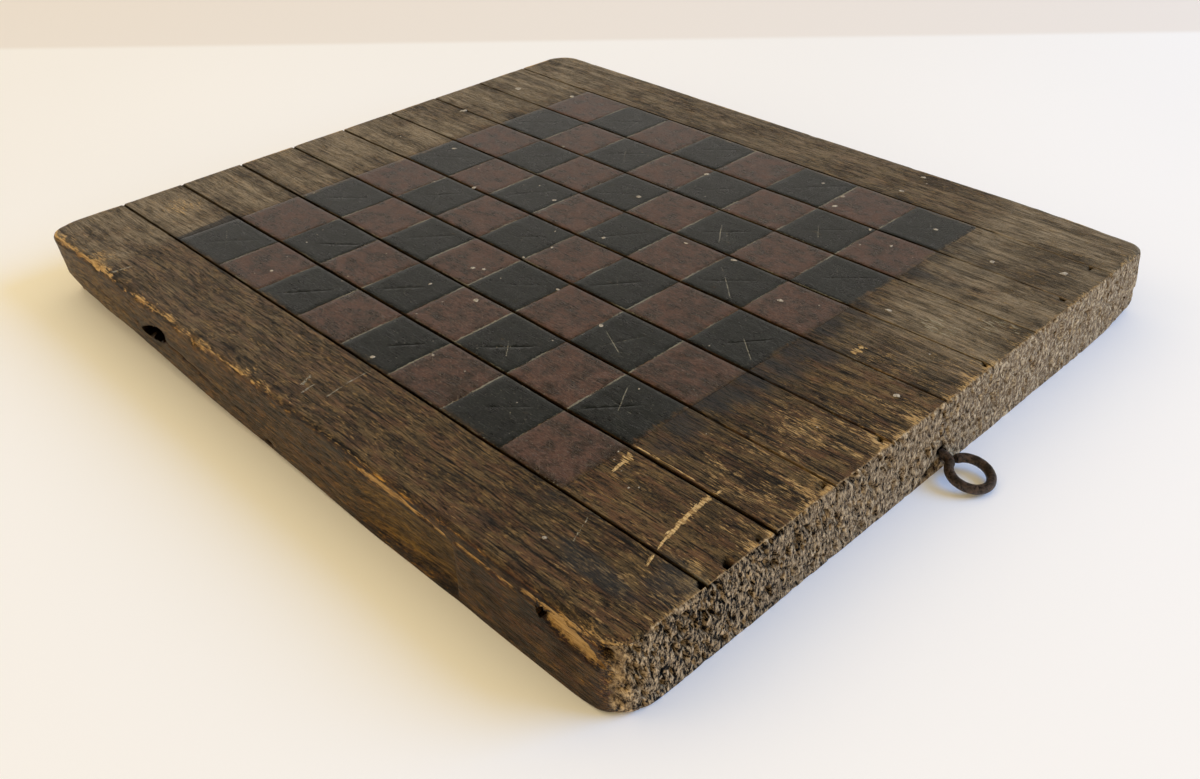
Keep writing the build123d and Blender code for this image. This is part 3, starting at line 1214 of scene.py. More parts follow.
    def bored(
        self, points: Array, origin: Array, inward: Array, radius: float, deep: float,
        reach: Array,
    ) -> tuple[Array, Array]:
        """Pushes the mesh in to a round hole.

        Args:
            points: Vertices in mm.
            origin: Where the hole's axis meets the surface.
            inward: Direction of the axis into the wood.
            radius: The hole's radius, in mm.
            deep: Its depth, in mm.
            reach: True for the vertices that may move.

        Returns:
            The moved vertices, and how black each is as painted shade in the hole, from 0 to 1.
        """
        along = (points - origin) @ inward
        radial = points - origin - along[:, None] * inward
        away = np.linalg.norm(radial, axis=1)
        moved = points.copy()
        mouth = reach & (away >= radius) & (away < radius * 1.6)
        snap = radius + (away - radius) * 0.45
        moved[mouth] += radial[mouth] * ((snap[mouth] / away[mouth]) - 1.0)[:, None]
        hole = reach & (away < radius)
        floor = np.minimum(radius, away / 0.72)
        unit = radial / np.maximum(away, 1e-6)[:, None]
        moved[hole] = origin + inward * deep + unit[hole] * floor[hole][:, None]
        # The hole and a ring round its mouth are drawn black: painted shade.
        return moved, np.where(reach, 1.0 - smoothstep(radius * 1.05, radius * 1.6, away), 0.0)

    def top_masks(self, ruled: Array, place: Array, depth: Array) -> Masks:
        """Lays the top's larger stains and worn places, and its paler back and right, which are partly
        painted sheen.

        Args:
            ruled: Points of the ruled drawing, x and y in mm.
            place: The same points where they really are.
            depth: How far each lies inside the outline, in mm.

        Returns:
            The masks at each point.
        """
        x, y = place[:, 0], place[:, 1]
        solid = raised(place)
        rough = self.noise.at(solid + 31.0, (9.0, 22.0, 9.0), 3)
        fine = self.noise.at(solid + 5.0, (2.2, 9.0, 2.2), 2)
        rim = hump(depth, 0.0, 1.4)
        front = hump(y, -self.length / 2, 1.6)
        bare = rim * np.clip(0.35 + 1.3 * rough, 0.0, 0.75) * (1.0 - 0.7 * front)
        stops = [-147, -115, -60, 20, 60, 147]
        near = smoothstep(-112.0, -140.0, y) * np.interp(x, stops, [0.4, 0.7, 1.0, 0.8, 0.3, 0.15])
        bare += np.clip(near * (0.2 + 0.5 * rough + 0.2 * fine), 0.0, 0.36)
        bare += 0.1 * smoothstep(-156.0, -164.0, y) * held(0.5 + 1.4 * rough) * (x < 40.0)
        bare += 0.12 * smoothstep(118.0, 130.0, y) * held(0.4 + 1.3 * rough)
        bare += 0.14 * smoothstep(112.0, 122.0, np.abs(x - 1.0)) * held(0.15 + 1.2 * rough)
        flaked = np.clip(1.5 * self.noise.at(solid + 44.0, (1.6, 3.6, 1.6), 2) - 0.1, 0.0, 0.5)
        bare += smoothstep(-140.5, -144.5, x) * smoothstep(-40.0, -10.0, y) * flaked
        torn = np.clip(0.1 + 1.6 * self.noise.at(solid + 14.0, (3.0, 3.4, 3.0), 3), 0.0, 0.8)
        bare += hump(y, -self.length / 2, 3.0) * torn * np.interp(x, [-147, 0, 147], [0.7, 0.8, 0.35])
        behind = smoothstep(-126.0, -141.0, x) * smoothstep(90.0, 125.0, y)
        bare += 0.3 * behind * held(0.6 + 0.9 * rough)
        bare += 0.3 * hill(x, y, (-98.0, 147.0), (9.0, 13.0))
        # Grey, paler skin: worn at the front right, and at the back, the right and rising towards the back
        # partly painted sheen.
        grey = 0.1 + 0.42 * smoothstep(50.0, 130.0, x) + 0.75 * smoothstep(112.0, 126.0, y)
        grey += 0.95 * smoothstep(-15.0, 50.0, x) * smoothstep(-100.0, -128.0, y)
        grey += 0.26 * smoothstep(-80.0, 60.0, y)
        drift = 10.0 * self.noise.at(solid + 71.0, (14.0, 14.0, 14.0), 2)
        smear = smoothstep(-90.0, -80.0, x) * smoothstep(118.0, 100.0, x)
        smear *= smoothstep(-150.0, -112.0, y + drift)
        smear *= smoothstep(-108.0, -110.5, y) * held(0.75 + 1.1 * rough)
        spill = smoothstep(-114.0, -112.0, x) * smoothstep(-84.0, -88.0, x)
        spill *= smoothstep(123.0, 119.0, y + 0.3 * drift)
        smear = np.maximum(0.9 * smear, 1.2 * spill * smoothstep(114.0, 116.0, y))
        stain = smoothstep(-100.0, -118.0, x) * smoothstep(-70.0, -110.0, y)
        smear = np.maximum(smear, stain * np.clip(0.35 + 1.1 * rough, 0.0, 0.75))
        made = {Mask.BARE: bare, Mask.GREY_AND_SHEEN: grey, Mask.SMEAR: smear}
        none = np.zeros(len(x))
        return {**made, Mask.END: 0.8 * front, Mask.CRUMB: none, Mask.OILY: none}

    def dusty(self, ruled: Array, place: Array) -> Array:
        """Finds where pale dust sits in the cross lines and on the lips of the long ones.

        Args:
            ruled: Points of the ruled drawing, x and y in mm.
            place: The same points where they really are.

        Returns:
            How dusty each point is, from 0 to 1.
        """
        u, v = ruled[:, 0], ruled[:, 1]
        lines, solid = self.lines, raised(place)
        patchy = held(0.55 + 1.0 * self.noise.at(solid + 3.0, (11.0, 11.0, 11.0), 2))
        dust = np.zeros(len(u))
        for line, half in zip(lines.long_lines(), lines.groove_half_widths):
            side = 0.5 + 0.5 * np.sign(self.noise.at(solid + line, (30.0, 40.0, 30.0)) * np.sign(u - line))
            lip = held(1.0 - np.abs(np.abs(u - line) - half) / 0.25)
            dust = np.maximum(dust, lip * side * patchy)
        inside = (u > lines.long_lines()[0] + 0.4) & (u < lines.long_lines()[-1] - 0.4)
        for line in lines.cross_lines()[1:-1]:
            near = held(1.35 - 1.35 * np.abs(v - line) / lines.cross_dust)
            dust = np.maximum(dust, near * inside * (0.2 + 0.85 * patchy))
        return dust

    def top_grid(self) -> tuple[Array, Array, Masks, tuple[int, int]]:
        """Builds the top.

        Returns:
            The vertices, the ruled points they come from, the masks, and how many columns and rows.
        """
        u, v = self.columns(), self.rows()
        ruled = np.stack(np.meshgrid(u, v, indexing="ij"), -1).reshape(-1, 2)
        rounded, depth, _ = self.round_corners(ruled)
        place = self.bend(rounded)
        z, soot_and_shade = self.surface(ruled, place, depth)
        lines, rows = self.lines.long_lines(), self.lines.cross_lines()
        across = np.full(len(ruled), 99.0)
        for line, half in zip(lines, self.lines.groove_half_widths):
            across = np.minimum(across, np.abs(ruled[:, 0] - line) - half)
        along = np.min([np.abs(ruled[:, 1] - row) for row in rows], axis=0) - self.lines.cross_half_width
        inside = (across > self.recess_margin) & (along > self.recess_margin)
        inside &= (ruled[:, 0] > lines[0]) & (ruled[:, 0] < lines[-1])
        inside &= (ruled[:, 1] > rows[0]) & (ruled[:, 1] < rows[-1])
        z = np.where(inside, z - self.paint_recess, z)
        masks = self.top_masks(ruled, place, depth)
        masks[Mask.SOOT_AND_SHADE] = soot_and_shade
        masks[Mask.DUST_AND_HIGHLIGHT] = self.dusty(ruled, place)
        return raised(place, z), ruled, masks, (len(u), len(v))

    def rim(self, shape: tuple[int, int]) -> list[int]:
        """Returns the numbers of the grid's outermost vertices, counter-clockwise from the front left."""
        columns, rows = shape
        front = [i * rows for i in range(columns)]
        right = [(columns - 1) * rows + j for j in range(1, rows)]
        back = [i * rows + rows - 1 for i in range(columns - 2, -1, -1)]
        return front + right + back + list(range(rows - 2, 0, -1))

    def rings(self, outline: Array, outward: Array) -> list[tuple[Array, Array]]:
        """Sets out the rings that draw the walls: the arris, the straight part and the worn foot.

        Args:
            outline: Points of the outline, x and y in mm.
            outward: Outward direction at each.

        Returns:
            For each ring from the top down, how far each point lies inside the outline and how high.
        """
        radius, crown = self.arris(outline), self.thickness - self.dish(outline)
        reach, high, flat_foot = self.foot(outline, outward)
        straight = max(8, round((self.thickness - 6.0) / self.ring_step))
        first = np.arcsin(held(1.0 - self.inset / radius))
        found = []
        for k in range(1, 4):
            turn = first + (math.pi / 2 - first) * k / 3
            found.append((radius * (1.0 - np.sin(turn)), crown - radius * (1.0 - np.cos(turn))))
        for k in range(1, straight):
            upper = crown - radius
            found.append((np.zeros(len(outline)), upper + (high - upper) * k / straight))
        for k in range(5):
            turn = math.pi / 2 * k / 4
            worn_in = (1.0 - math.cos(turn)) * (1.0 - flat_foot) + k / 4 * flat_foot
            worn_up = (1.0 - math.sin(turn)) * (1.0 - flat_foot) + (1.0 - k / 4) * flat_foot
            found.append((reach * worn_in, high * worn_up))
        return found

    def wall(
        self, outline: Array, outward: Array, spots: Array,
    ) -> tuple[list[Array], list[Masks]]:
        """Builds the rings of the walls with their wear.

        Args:
            outline: Points of the outline, x and y in mm.
            outward: Outward direction at each.
            spots: The same points in the ruled drawing.

        Returns:
            The vertices of each ring, and the masks at them.
        """
        crown = self.thickness - self.dish(outline)
        cut, line_soot_and_shade = self.scored(spots, outline)
        wall, masks = [], []
        for inset, z in self.rings(outline, outward):
            notch = held(1.0 - (crown - z) / 4.0) * (np.abs(outward[:, 1]) > 0.9)
            z = np.minimum(z, np.where(notch > 0.0, crown - cut, z))
            depth, found = self.bite(outline, outward, z)
            inward = inset + depth * smoothstep(0.0, 2.5, z) - self.belly(outline, outward, z)
            place = outline - outward * inward[:, None]
            rim = hump(z, crown, 1.5) + 0.4 * hump(z, 0.0, 1.8)
            rim *= 1.0 - 0.75 * found[Mask.END]
            rough = self.noise.at(raised(place, z) + 31.0, (7.0, 7.0, 4.0), 2)
            found[Mask.SOOT_AND_SHADE] = np.maximum(found[Mask.SOOT_AND_SHADE], line_soot_and_shade * notch)
            found[Mask.BARE] = np.maximum(found[Mask.BARE], rim * np.clip(0.3 + 1.3 * rough, 0.0, 0.8))
            found[Mask.SMEAR] = found[Mask.DUST_AND_HIGHLIGHT] = np.zeros(len(outline))
            wall.append(raised(place, z))
            masks.append(found)
        return wall, masks

    def holes(self, points: Array, reach: Array) -> tuple[Array, Array]:
        """Sinks the screw eye's hole and the nail's.

        Args:
            points: Vertices in mm.
            reach: True for the vertices that may move.

        Returns:
            The moved vertices, and how black each is as painted shade in the hole, from 0 to 1.
        """
        tilt = math.radians(self.eye_droop)
        inward = np.array([0.0, math.cos(tilt), math.sin(tilt)])
        place, nail = np.array(self.eye_place), np.array([-self.width / 2, *self.nail_place])
        points, eye_hole_shade = self.bored(points, place, inward, self.bore_radius, self.bore_depth, reach)
        reach = reach & (points[:, 0] < 7.0 - self.width / 2)
        across = np.array([1.0, 0.0, 0.0])
        points, nail_hole_shade = self.bored(points, nail, across, self.nail_radius, self.nail_depth, reach)
        return points, np.maximum(eye_hole_shade, nail_hole_shade)

    def build(self) -> Object:
        """Builds the closed mesh of the plank.

        Returns:
            The object, not yet dressed.
        """
        top, ruled, masks, shape = self.top_grid()
        edge = self.rim(shape)
        flat = ruled[edge]
        spots, marks = [], []
        for k, (spot, after) in enumerate(zip(flat, np.roll(flat, -1, axis=0))):
            spots.append(spot)
            marks.append(k)
            if abs(after[1] - spot[1]) < 1e-6:
                spots.append((spot + after) / 2)
                marks.append(-1)
        rounded, _, outward = self.round_corners(np.array(spots))
        outline = self.bend(rounded + outward * self.inset)
        wall, wall_masks = self.wall(outline, outward, np.array(spots))
        under, under_faces = self.underside(wall[-1][:, :2])
        points = np.concatenate([top, *wall, under])
        base, low = len(top), len(points) - len(under)
        numbers = np.arange(len(points))
        points, hole_shade = self.holes(points, (numbers >= base) & (numbers < low))
        whole = {}
        for mask in masks:
            tail = np.full(len(under), 0.3 if mask is Mask.GREY_AND_SHEEN else 0.0)
            whole[mask] = np.concatenate([masks[mask], *[found[mask] for found in wall_masks], tail])
        whole[Mask.SOOT_AND_SHADE] = np.maximum(whole[Mask.SOOT_AND_SHADE], hole_shade)
        faces, chart = self.faces(ruled, shape, edge, marks, outline, len(wall))
        count = len(outline)
        for face in under_faces:
            named = [low - count + n for n in face]
            faces.append(named)
            chart.append([self.under_spot(points[n]) for n in named])
        LOG.info("plank: %d vertices, %d faces", len(points), len(faces))
        return make_mesh("plank_aged", points, faces, chart, whole)

    def faces(
        self, ruled: Array, shape: tuple[int, int], edge: list[int], marks: list[int],
        outline: Array, levels: int,
    ) -> tuple[list[list[int]], list[list[Pair]]]:
        """Joins the top and the walls to faces and lays them out on the baking map.

        The map is 1024 units wide and high. It gives the top three quarters of its height, the ends a
        strip each above it, and the sides and the underside a strip each beside it.

        Args:
            ruled: The top's points in the ruled drawing.
            shape: How many columns and rows the top has.
            edge: The top's outermost vertices.
            marks: For each wall column, the edge vertex that it starts at, or -1 between two.
            outline: The wall columns' places, x and y in mm.
            levels: How many rings the walls have.

        Returns:
            The faces and their corners' places on the map.
        """
        columns, rows = shape
        spot = (ruled + [self.width / 2, self.length / 2]) * (2.25 / 1024) + 2 / 1024
        starts = [i * rows + j for i in range(columns - 1) for j in range(rows - 1)]
        faces = [[a, a + rows, a + rows + 1, a + 1] for a in starts]
        chart = [[tuple(spot[n]) for n in face] for face in faces]
        base, count = len(ruled), len(outline)
        after = np.roll(outline, -1, axis=0)
        lengths = np.concatenate([[0.0], np.cumsum(np.linalg.norm(after - outline, axis=1))])
        sides = self.side_of((outline + after) / 2)
        first = [min(lengths[:-1][sides == side], default=0.0) for side in range(4)]
        down = np.arange(levels + 1) * (self.map_fall / levels)
        for k in range(count):
            nxt, side = (k + 1) % count, sides[k]
            here, there = lengths[k], lengths[k + 1]
            laid = []
            if marks[k] >= 0 and marks[nxt] >= 0:
                upper = (edge[marks[k]], here, 0), (edge[marks[nxt]], there, 0)
                laid.append((upper[0], (base + k, here, 1), (base + nxt, there, 1), upper[1]))
            elif marks[k] >= 0:
                far = lengths[k + 2]
                upper = (edge[marks[k]], here, 0), (edge[(marks[k] + 1) % len(edge)], far, 0)
                middle = (base + nxt, there, 1)
                laid.append((upper[0], (base + k, here, 1), middle))
                laid.append((upper[0], middle, upper[1]))
                laid.append((upper[1], middle, (base + (k + 2) % count, far, 1)))
            for level in range(1, levels):
                a, b = base + (level - 1) * count, base + level * count
                outer = (a + k, here, level), (b + k, here, level + 1)
                laid.append((*outer, (b + nxt, there, level + 1), (a + nxt, there, level)))
            for corners in laid:
                faces.append([number for number, _, _ in corners])
                chart.append([self.wall_spot(side, run - first[side], down[n]) for _, run, n in corners])
        return faces, chart

    def wall_spot(self, side: int, run: float, fall: float) -> Pair:
        """Places a point of a wall on the baking map.

        Args:
            side: 0 to 3 for the front, right, back or left wall.
            run: How far along that wall it lies, in mm.
            fall: How far down it, in mm.

        Returns:
            Its place on the map.
        """
        over = self.map_fall - fall
        if side in (0, 2):
            return (4 + run * 3.25) / 1024, (762 + 66 * side + over * 3.7) / 1024
        return ((672 if side == 3 else 748) + over * 2.1) / 1024, (4 + run * 2.2) / 1024

    def under_spot(self, point: Array) -> Pair:
        """Returns the place on the baking map of a point of the underside."""
        across, along = point[0] + self.width / 2, point[1] + self.length / 2
        return (824 + across * 0.66) / 1024, (4 + along * 2.2) / 1024

    def side_of(self, middle: Array) -> Array:
        """Returns 0 to 3 for the front, right, back or left wall that each point lies on."""
        x, y = middle[:, 0], middle[:, 1]
        gap_x, gap_y = self.width / 2 - np.abs(x), self.length / 2 - np.abs(y)
        return np.where(gap_x < gap_y, np.where(x > 0, 1, 3), np.where(y > 0, 2, 0))

    def underside(self, ring: Array) -> tuple[Array, list[list[int]]]:
        """Fills the underside.

        Args:
            ring: The last ring of the walls, x and y in mm.

        Returns:
            The inner vertices, and the faces, whose numbers count the ring first and then these.
        """
        half, end, step = self.width / 2, self.length / 2, self.under_step
        x = np.arange(-half + step * 2.2, half - step * 2.0, step)
        y = np.arange(-end + step * 2.2, end - step * 2.0, step)
        inner = np.stack(np.meshgrid(x, y, indexing="ij"), -1).reshape(-1, 2)
        given = [Vector(p) for p in np.concatenate([ring, inner]).tolist()]
        edges = [(k, (k + 1) % len(ring)) for k in range(len(ring))]
        spots, _, faces, origins, _, _ = delaunay_2d_cdt(given, edges, [], 1, 1e-6)
        number = [min(origin) if origin else -1 for origin in origins]
        if len(spots) != len(given) or min(number) < 0:
            LOG.warning("underside: %d points came back for %d", len(spots), len(given))
        hollow = 0.25 + 0.25 * self.noise.at(raised(inner) + 12.0, (60.0, 110.0, 60.0), 2)
        found = [facing_up([number[n] for n in face], given)[::-1] for face in faces]
        return raised(inner, hollow), found

    def dress(self, made: Object, finish: AgedPine) -> None:
        """Gives the plank its wood and its place in the frame."""
        made.data.materials.append(finish.material())
        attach(made, "board")
        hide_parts("plank")


class Parity(Enum):
    """Which squares carry which paint, by the sum of their column and row from the front left."""

    RED = 0
    DARK = 1


@dataclass(frozen=True)
class Stroke:
    """One line of the cross that is scratched in a dark square.

    Attributes:
        start: Its first end, x and y in mm.
        end: Its other end, x and y in mm.
        pale: True for a line drawn pale as a painted highlight, False for one drawn dark as painted shade.
        strength: How plain it is, from 0 to 1.
    """

    start: Pair
    end: Pair
    pale: bool
    strength: float = 1.0


@dataclass
class PaintedSquares:
    """The thin, worn paint of every second square, with the crosses scratched in the dark ones.

    Attributes:
        parity: Which squares these are.
        name: The object's name.
        node: The CAD node that it stands for.
        slot: The record's material slot, not used.
        plank: The wood that it lies on.
        film: How far the paint stands proud of the wood, in mm.
        body: How thick the hidden sheet under its surface is, in mm.
        cut_half_width: Half the width of a scratched line, in mm.
        cut_depth: Its depth, in mm.
        seed: Picks the strokes' ends.
        map_width: Width of the baking map, in mm.
        plain_strokes: The strokes of the squares whose crosses are plain to see, by column and row.
    """

    parity: Parity
    name: str
    node: str
    slot: str
    plank: Plank
    film: float = 0.08
    body: float = 0.2
    cut_half_width: float = 0.3
    cut_depth: float = 0.14
    seed: int = 5
    map_width: float = 260.0
    plain_strokes: dict[tuple[int, int], tuple[Stroke, ...]] = field(default_factory=lambda: {
        (1, 0): (Stroke((-82.3, -85.0), (-66.5, -98.5), False),
                 Stroke((-76.0, -95.5), (-62.0, -87.0), True),
                 Stroke((-73.0, -101.0), (-71.0, -84.0), True, 0.5)),
        (3, 0): (Stroke((-23.5, -107.0), (-13.0, -94.5), True),
                 Stroke((-21.0, -93.0), (-7.0, -104.0), False)),
        (0, 1): (Stroke((-103.0, -62.0), (-91.0, -74.0), False, 0.5),
                 Stroke((-101.0, -73.0), (-92.0, -62.5), True, 0.4)),
        (2, 1): (Stroke((-51.3, -73.0), (-42.0, -55.5), True),
                 Stroke((-54.0, -62.5), (-34.0, -71.5), True, 0.6)),
        (4, 1): (Stroke((2.5, -76.0), (16.0, -61.5), True), Stroke((16.0, -61.5), (21.0, -55.5), True, 0.6),
                 Stroke((6.0, -58.0), (22.0, -75.0), False, 0.5)),
        (6, 1): (Stroke((63.0, -70.0), (74.5, -61.5), True, 0.8),
                 Stroke((65.0, -60.0), (79.0, -75.0), False, 0.4)),
        (1, 2): (Stroke((-80.5, -34.0), (-66.0, -48.5), False),
                 Stroke((-80.0, -46.5), (-69.0, -36.0), True, 0.5)),
        (3, 2): (Stroke((-25.0, -30.5), (-8.5, -43.5), False, 0.6),
                 Stroke((-24.0, -45.0), (-11.0, -31.0), True, 0.45)),
        (5, 2): (Stroke((32.5, -44.5), (48.0, -33.0), True),
                 Stroke((35.0, -46.5), (45.5, -38.0), True, 0.6),
                 Stroke((36.0, -32.0), (51.0, -47.0), False, 0.6)),
        (0, 3): (Stroke((-103.0, -9.5), (-92.0, -19.0), False, 0.8),
                 Stroke((-102.0, -18.0), (-93.0, -8.5), True, 0.3)),
        (1, 4): (Stroke((-80.5, 25.0), (-67.5, 13.0), False, 0.7),
                 Stroke((-79.0, 12.5), (-70.0, 22.0), True, 0.5)),
        (0, 5): (Stroke((-109.5, 50.5), (-92.5, 36.5), False, 0.7),
                 Stroke((-106.0, 37.0), (-96.0, 50.0), True, 0.3)),
        (1, 6): (Stroke((-77.0, 74.0), (-64.5, 59.5), False, 0.8),
                 Stroke((-76.0, 62.0), (-67.0, 72.0), True, 0.4)),
        (6, 5): (Stroke((62.5, 38.0), (78.0, 50.5), True, 0.6),
                 Stroke((65.0, 52.0), (79.0, 37.0), False, 0.4)),
    })

    def strokes(self, column: int, row: int, rng: np.random.Generator) -> list[Stroke]:
        """Chooses the crossed scratches of one square.

        Args:
            column: The square's column from the left.
            row: Its row from the front.
            rng: Source of the small differences.

        Returns:
            The strokes, with their ends in the ruled drawing.
        """
        jitter = rng.uniform(-0.09, 0.09, (4, 2))
        size = rng.uniform(0.2, 0.36, 4)
        plain = rng.uniform(0.2, 0.5, 2)
        if self.parity is Parity.RED:
            return []
        lines = self.plank.lines
        if (column, row) in self.plain_strokes:
            found = []
            for stroke in self.plain_strokes[column, row]:
                ends = np.array([stroke.start, stroke.end])
                ends = 2.0 * ends - self.plank.bend(ends)
                found.append(Stroke(tuple(ends[0]), tuple(ends[1]), stroke.pale, stroke.strength))
            return found
        reach = np.array([lines.square_width, lines.square_length])
        centre = np.array([lines.long_lines()[column], lines.cross_lines()[row]]) + reach / 2
        signs = ((-1.0, 1.0), (1.0, -1.0), (-1.0, -1.0), (1.0, 1.0))
        ends = [centre + (np.array(sign) * size[k] + jitter[k]) * reach for k, sign in enumerate(signs)]
        # The line from back left to front right is drawn dark as painted shade, the other pale as a painted
        # highlight.
        return [Stroke(tuple(ends[0]), tuple(ends[1]), False, plain[0]),
                Stroke(tuple(ends[2]), tuple(ends[3]), True, plain[1])]

    def square(
        self, column: int, row: int, rng: np.random.Generator
    ) -> tuple[Array, list[list[int]]]:
        """Lays one square's points, with the scratches as lines of its own.

        Args:
            column: The square's column from the left.
            row: Its row from the front.
            rng: Source of the small differences.

        Returns:
            The ruled points with the depth of the dark and of the pale cuts at each, and the triangles.
        """
        lines = self.plank.lines
        left, front = lines.long_lines()[column], lines.cross_lines()[row]
        near, far = lines.groove_half_widths[column], lines.groove_half_widths[column + 1]
        over = lines.cross_half_width
        right, back = left + lines.square_width - far, front + lines.square_length - over
        u = [c for c in self.plank.columns() if left + near - 1e-3 < c < right + 1e-3]
        v = [r for r in self.plank.rows() if front + over - 1e-3 < r < back + 1e-3]
        points = [(a, b) for a in u for b in v]
        edges = []
        strokes = self.strokes(column, row, rng)
        for stroke in strokes:
            lowest, highest = (left + near + 1.0, front + over + 1.0), (right - 1.0, back - 1.0)
            a, b = (np.clip(end, lowest, highest) for end in (stroke.start, stroke.end))
            run = (b - a) / np.linalg.norm(b - a)
            normal = np.array([-run[1], run[0]]) * self.cut_half_width
            count = max(2, round(np.linalg.norm(b - a) / 1.6))
            for offset in (-1.0, 0.0, 1.0):
                reach = (0, count) if offset == 0.0 else (1, count - 1)
                first = len(points)
                for k in range(reach[0], reach[1] + 1):
                    points.append(tuple(a + (b - a) * k / count + normal * offset))
                edges.extend((n, n + 1) for n in range(first, len(points) - 1))
        spots, _, faces, _, _, _ = delaunay_2d_cdt([Vector(p) for p in points], edges, [], 0, 1e-5)
        flat = np.array([tuple(p) for p in spots])
        cuts = np.zeros((len(flat), 2))
        for stroke in strokes:
            away, share = near_segment(flat, stroke.start, stroke.end)
            taper = held(6.0 * share * (1.0 - share)) * stroke.strength
            deep = held(1.0 - away / (self.cut_half_width * 0.98)) * taper
            cuts[:, int(stroke.pale)] = np.maximum(cuts[:, int(stroke.pale)], deep)
        return np.column_stack([flat, cuts]), [facing_up(face, flat) for face in faces]

    def build(self) -> Object:
        """Builds the closed sheets of all these squares.

        Returns:
            The object, not yet dressed.
        """
        rng = np.random.default_rng(self.seed)
        lines = self.plank.lines
        points, faces, chart = [], [], []
        gathered: dict[Mask, list[Array]] = {}
        start = 0
        for column, row in itertools.product(range(8), range(8)):
            if (column + row) % 2 != self.parity.value:
                continue
            ruled, triangles = self.square(column, row, rng)
            flat = ruled[:, :2]
            place = self.plank.bend(flat)
            depth = np.full(len(flat), 30.0)
            z, soot_and_shade = self.plank.surface(flat, place, depth)
            masks = self.plank.top_masks(flat, place, depth)
            left, front = lines.long_lines()[column], lines.cross_lines()[row]
            near, far = lines.groove_half_widths[column], lines.groove_half_widths[column + 1]
            x, y = flat[:, 0], flat[:, 1]
            gap_x = np.minimum(x - left - near, left + lines.square_width - far - x)
            gap_y = np.minimum(y - front, front + lines.square_length - y) - lines.cross_half_width
            proud = np.where(np.minimum(gap_x, gap_y) < 0.02, -0.03, self.film)
            dug = np.maximum(ruled[:, 2], 0.6 * ruled[:, 3])
            count = len(flat)
            points.extend([raised(place, z + proud - self.cut_depth * dug), raised(place, z - self.body)])
            faces.extend([[start + n for n in face] for face in triangles])
            faces.extend([[start + count + n for n in face[::-1]] for face in triangles])
            origin = np.array([lines.long_lines()[0] - 0.5, lines.cross_lines()[0] - 0.5])
            spot = (flat - origin) / self.map_width
            aside = spot + [lines.square_width / self.map_width, 0.0]
            chart.extend([[tuple(spot[n]) for n in face] for face in triangles])
            chart.extend([[tuple(aside[n]) for n in face[::-1]] for face in triangles])
            edges = dict.fromkeys((a, b) for face in triangles for a, b in zip(face, face[1:] + face[:1]))
            for a, b in edges:
                if (b, a) not in edges:
                    faces.append([start + a, start + count + a, start + count + b, start + b])
                    shrunk = [tuple(spot[n] * 0.999 + 0.0002) for n in (a, b)]
                    chart.append([tuple(spot[a]), *shrunk, tuple(spot[b])])
            masks[Mask.SOOT_AND_SHADE] = soot_and_shade * 0.6
            # The dark strokes go in the incised mask as painted shade, the pale ones in the dust mask as a
            # painted highlight.
            masks[Mask.SHADED_CUT] = ruled[:, 2]
            masks[Mask.DUST_AND_HIGHLIGHT] = np.maximum(self.plank.dusty(flat, place), 1.1 * ruled[:, 3])
            low, high = (np.array([lines.long_lines()[k], lines.cross_lines()[k]]) for k in (0, -1))
            outer = np.minimum(flat - low, high - flat).min(axis=1)
            masks[Mask.RIM] = 1.0 - smoothstep(0.0, 4.0, outer)
            for mask, values in masks.items():
                gathered.setdefault(mask, []).extend([values, values])
            start += 2 * count
        whole = {mask: np.concatenate(parts) for mask, parts in gathered.items()}
        LOG.info("%s: %d vertices, %d faces", self.name, start, len(faces))
        return make_mesh(self.name, np.concatenate(points), faces, chart, whole)

    def dress(self, made: Object, finish: OldOilPaint) -> None:
        """Gives the squares their paint and their place in the frame."""
        made.data.materials.append(finish.material())
        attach(made, "board")
        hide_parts(self.node)


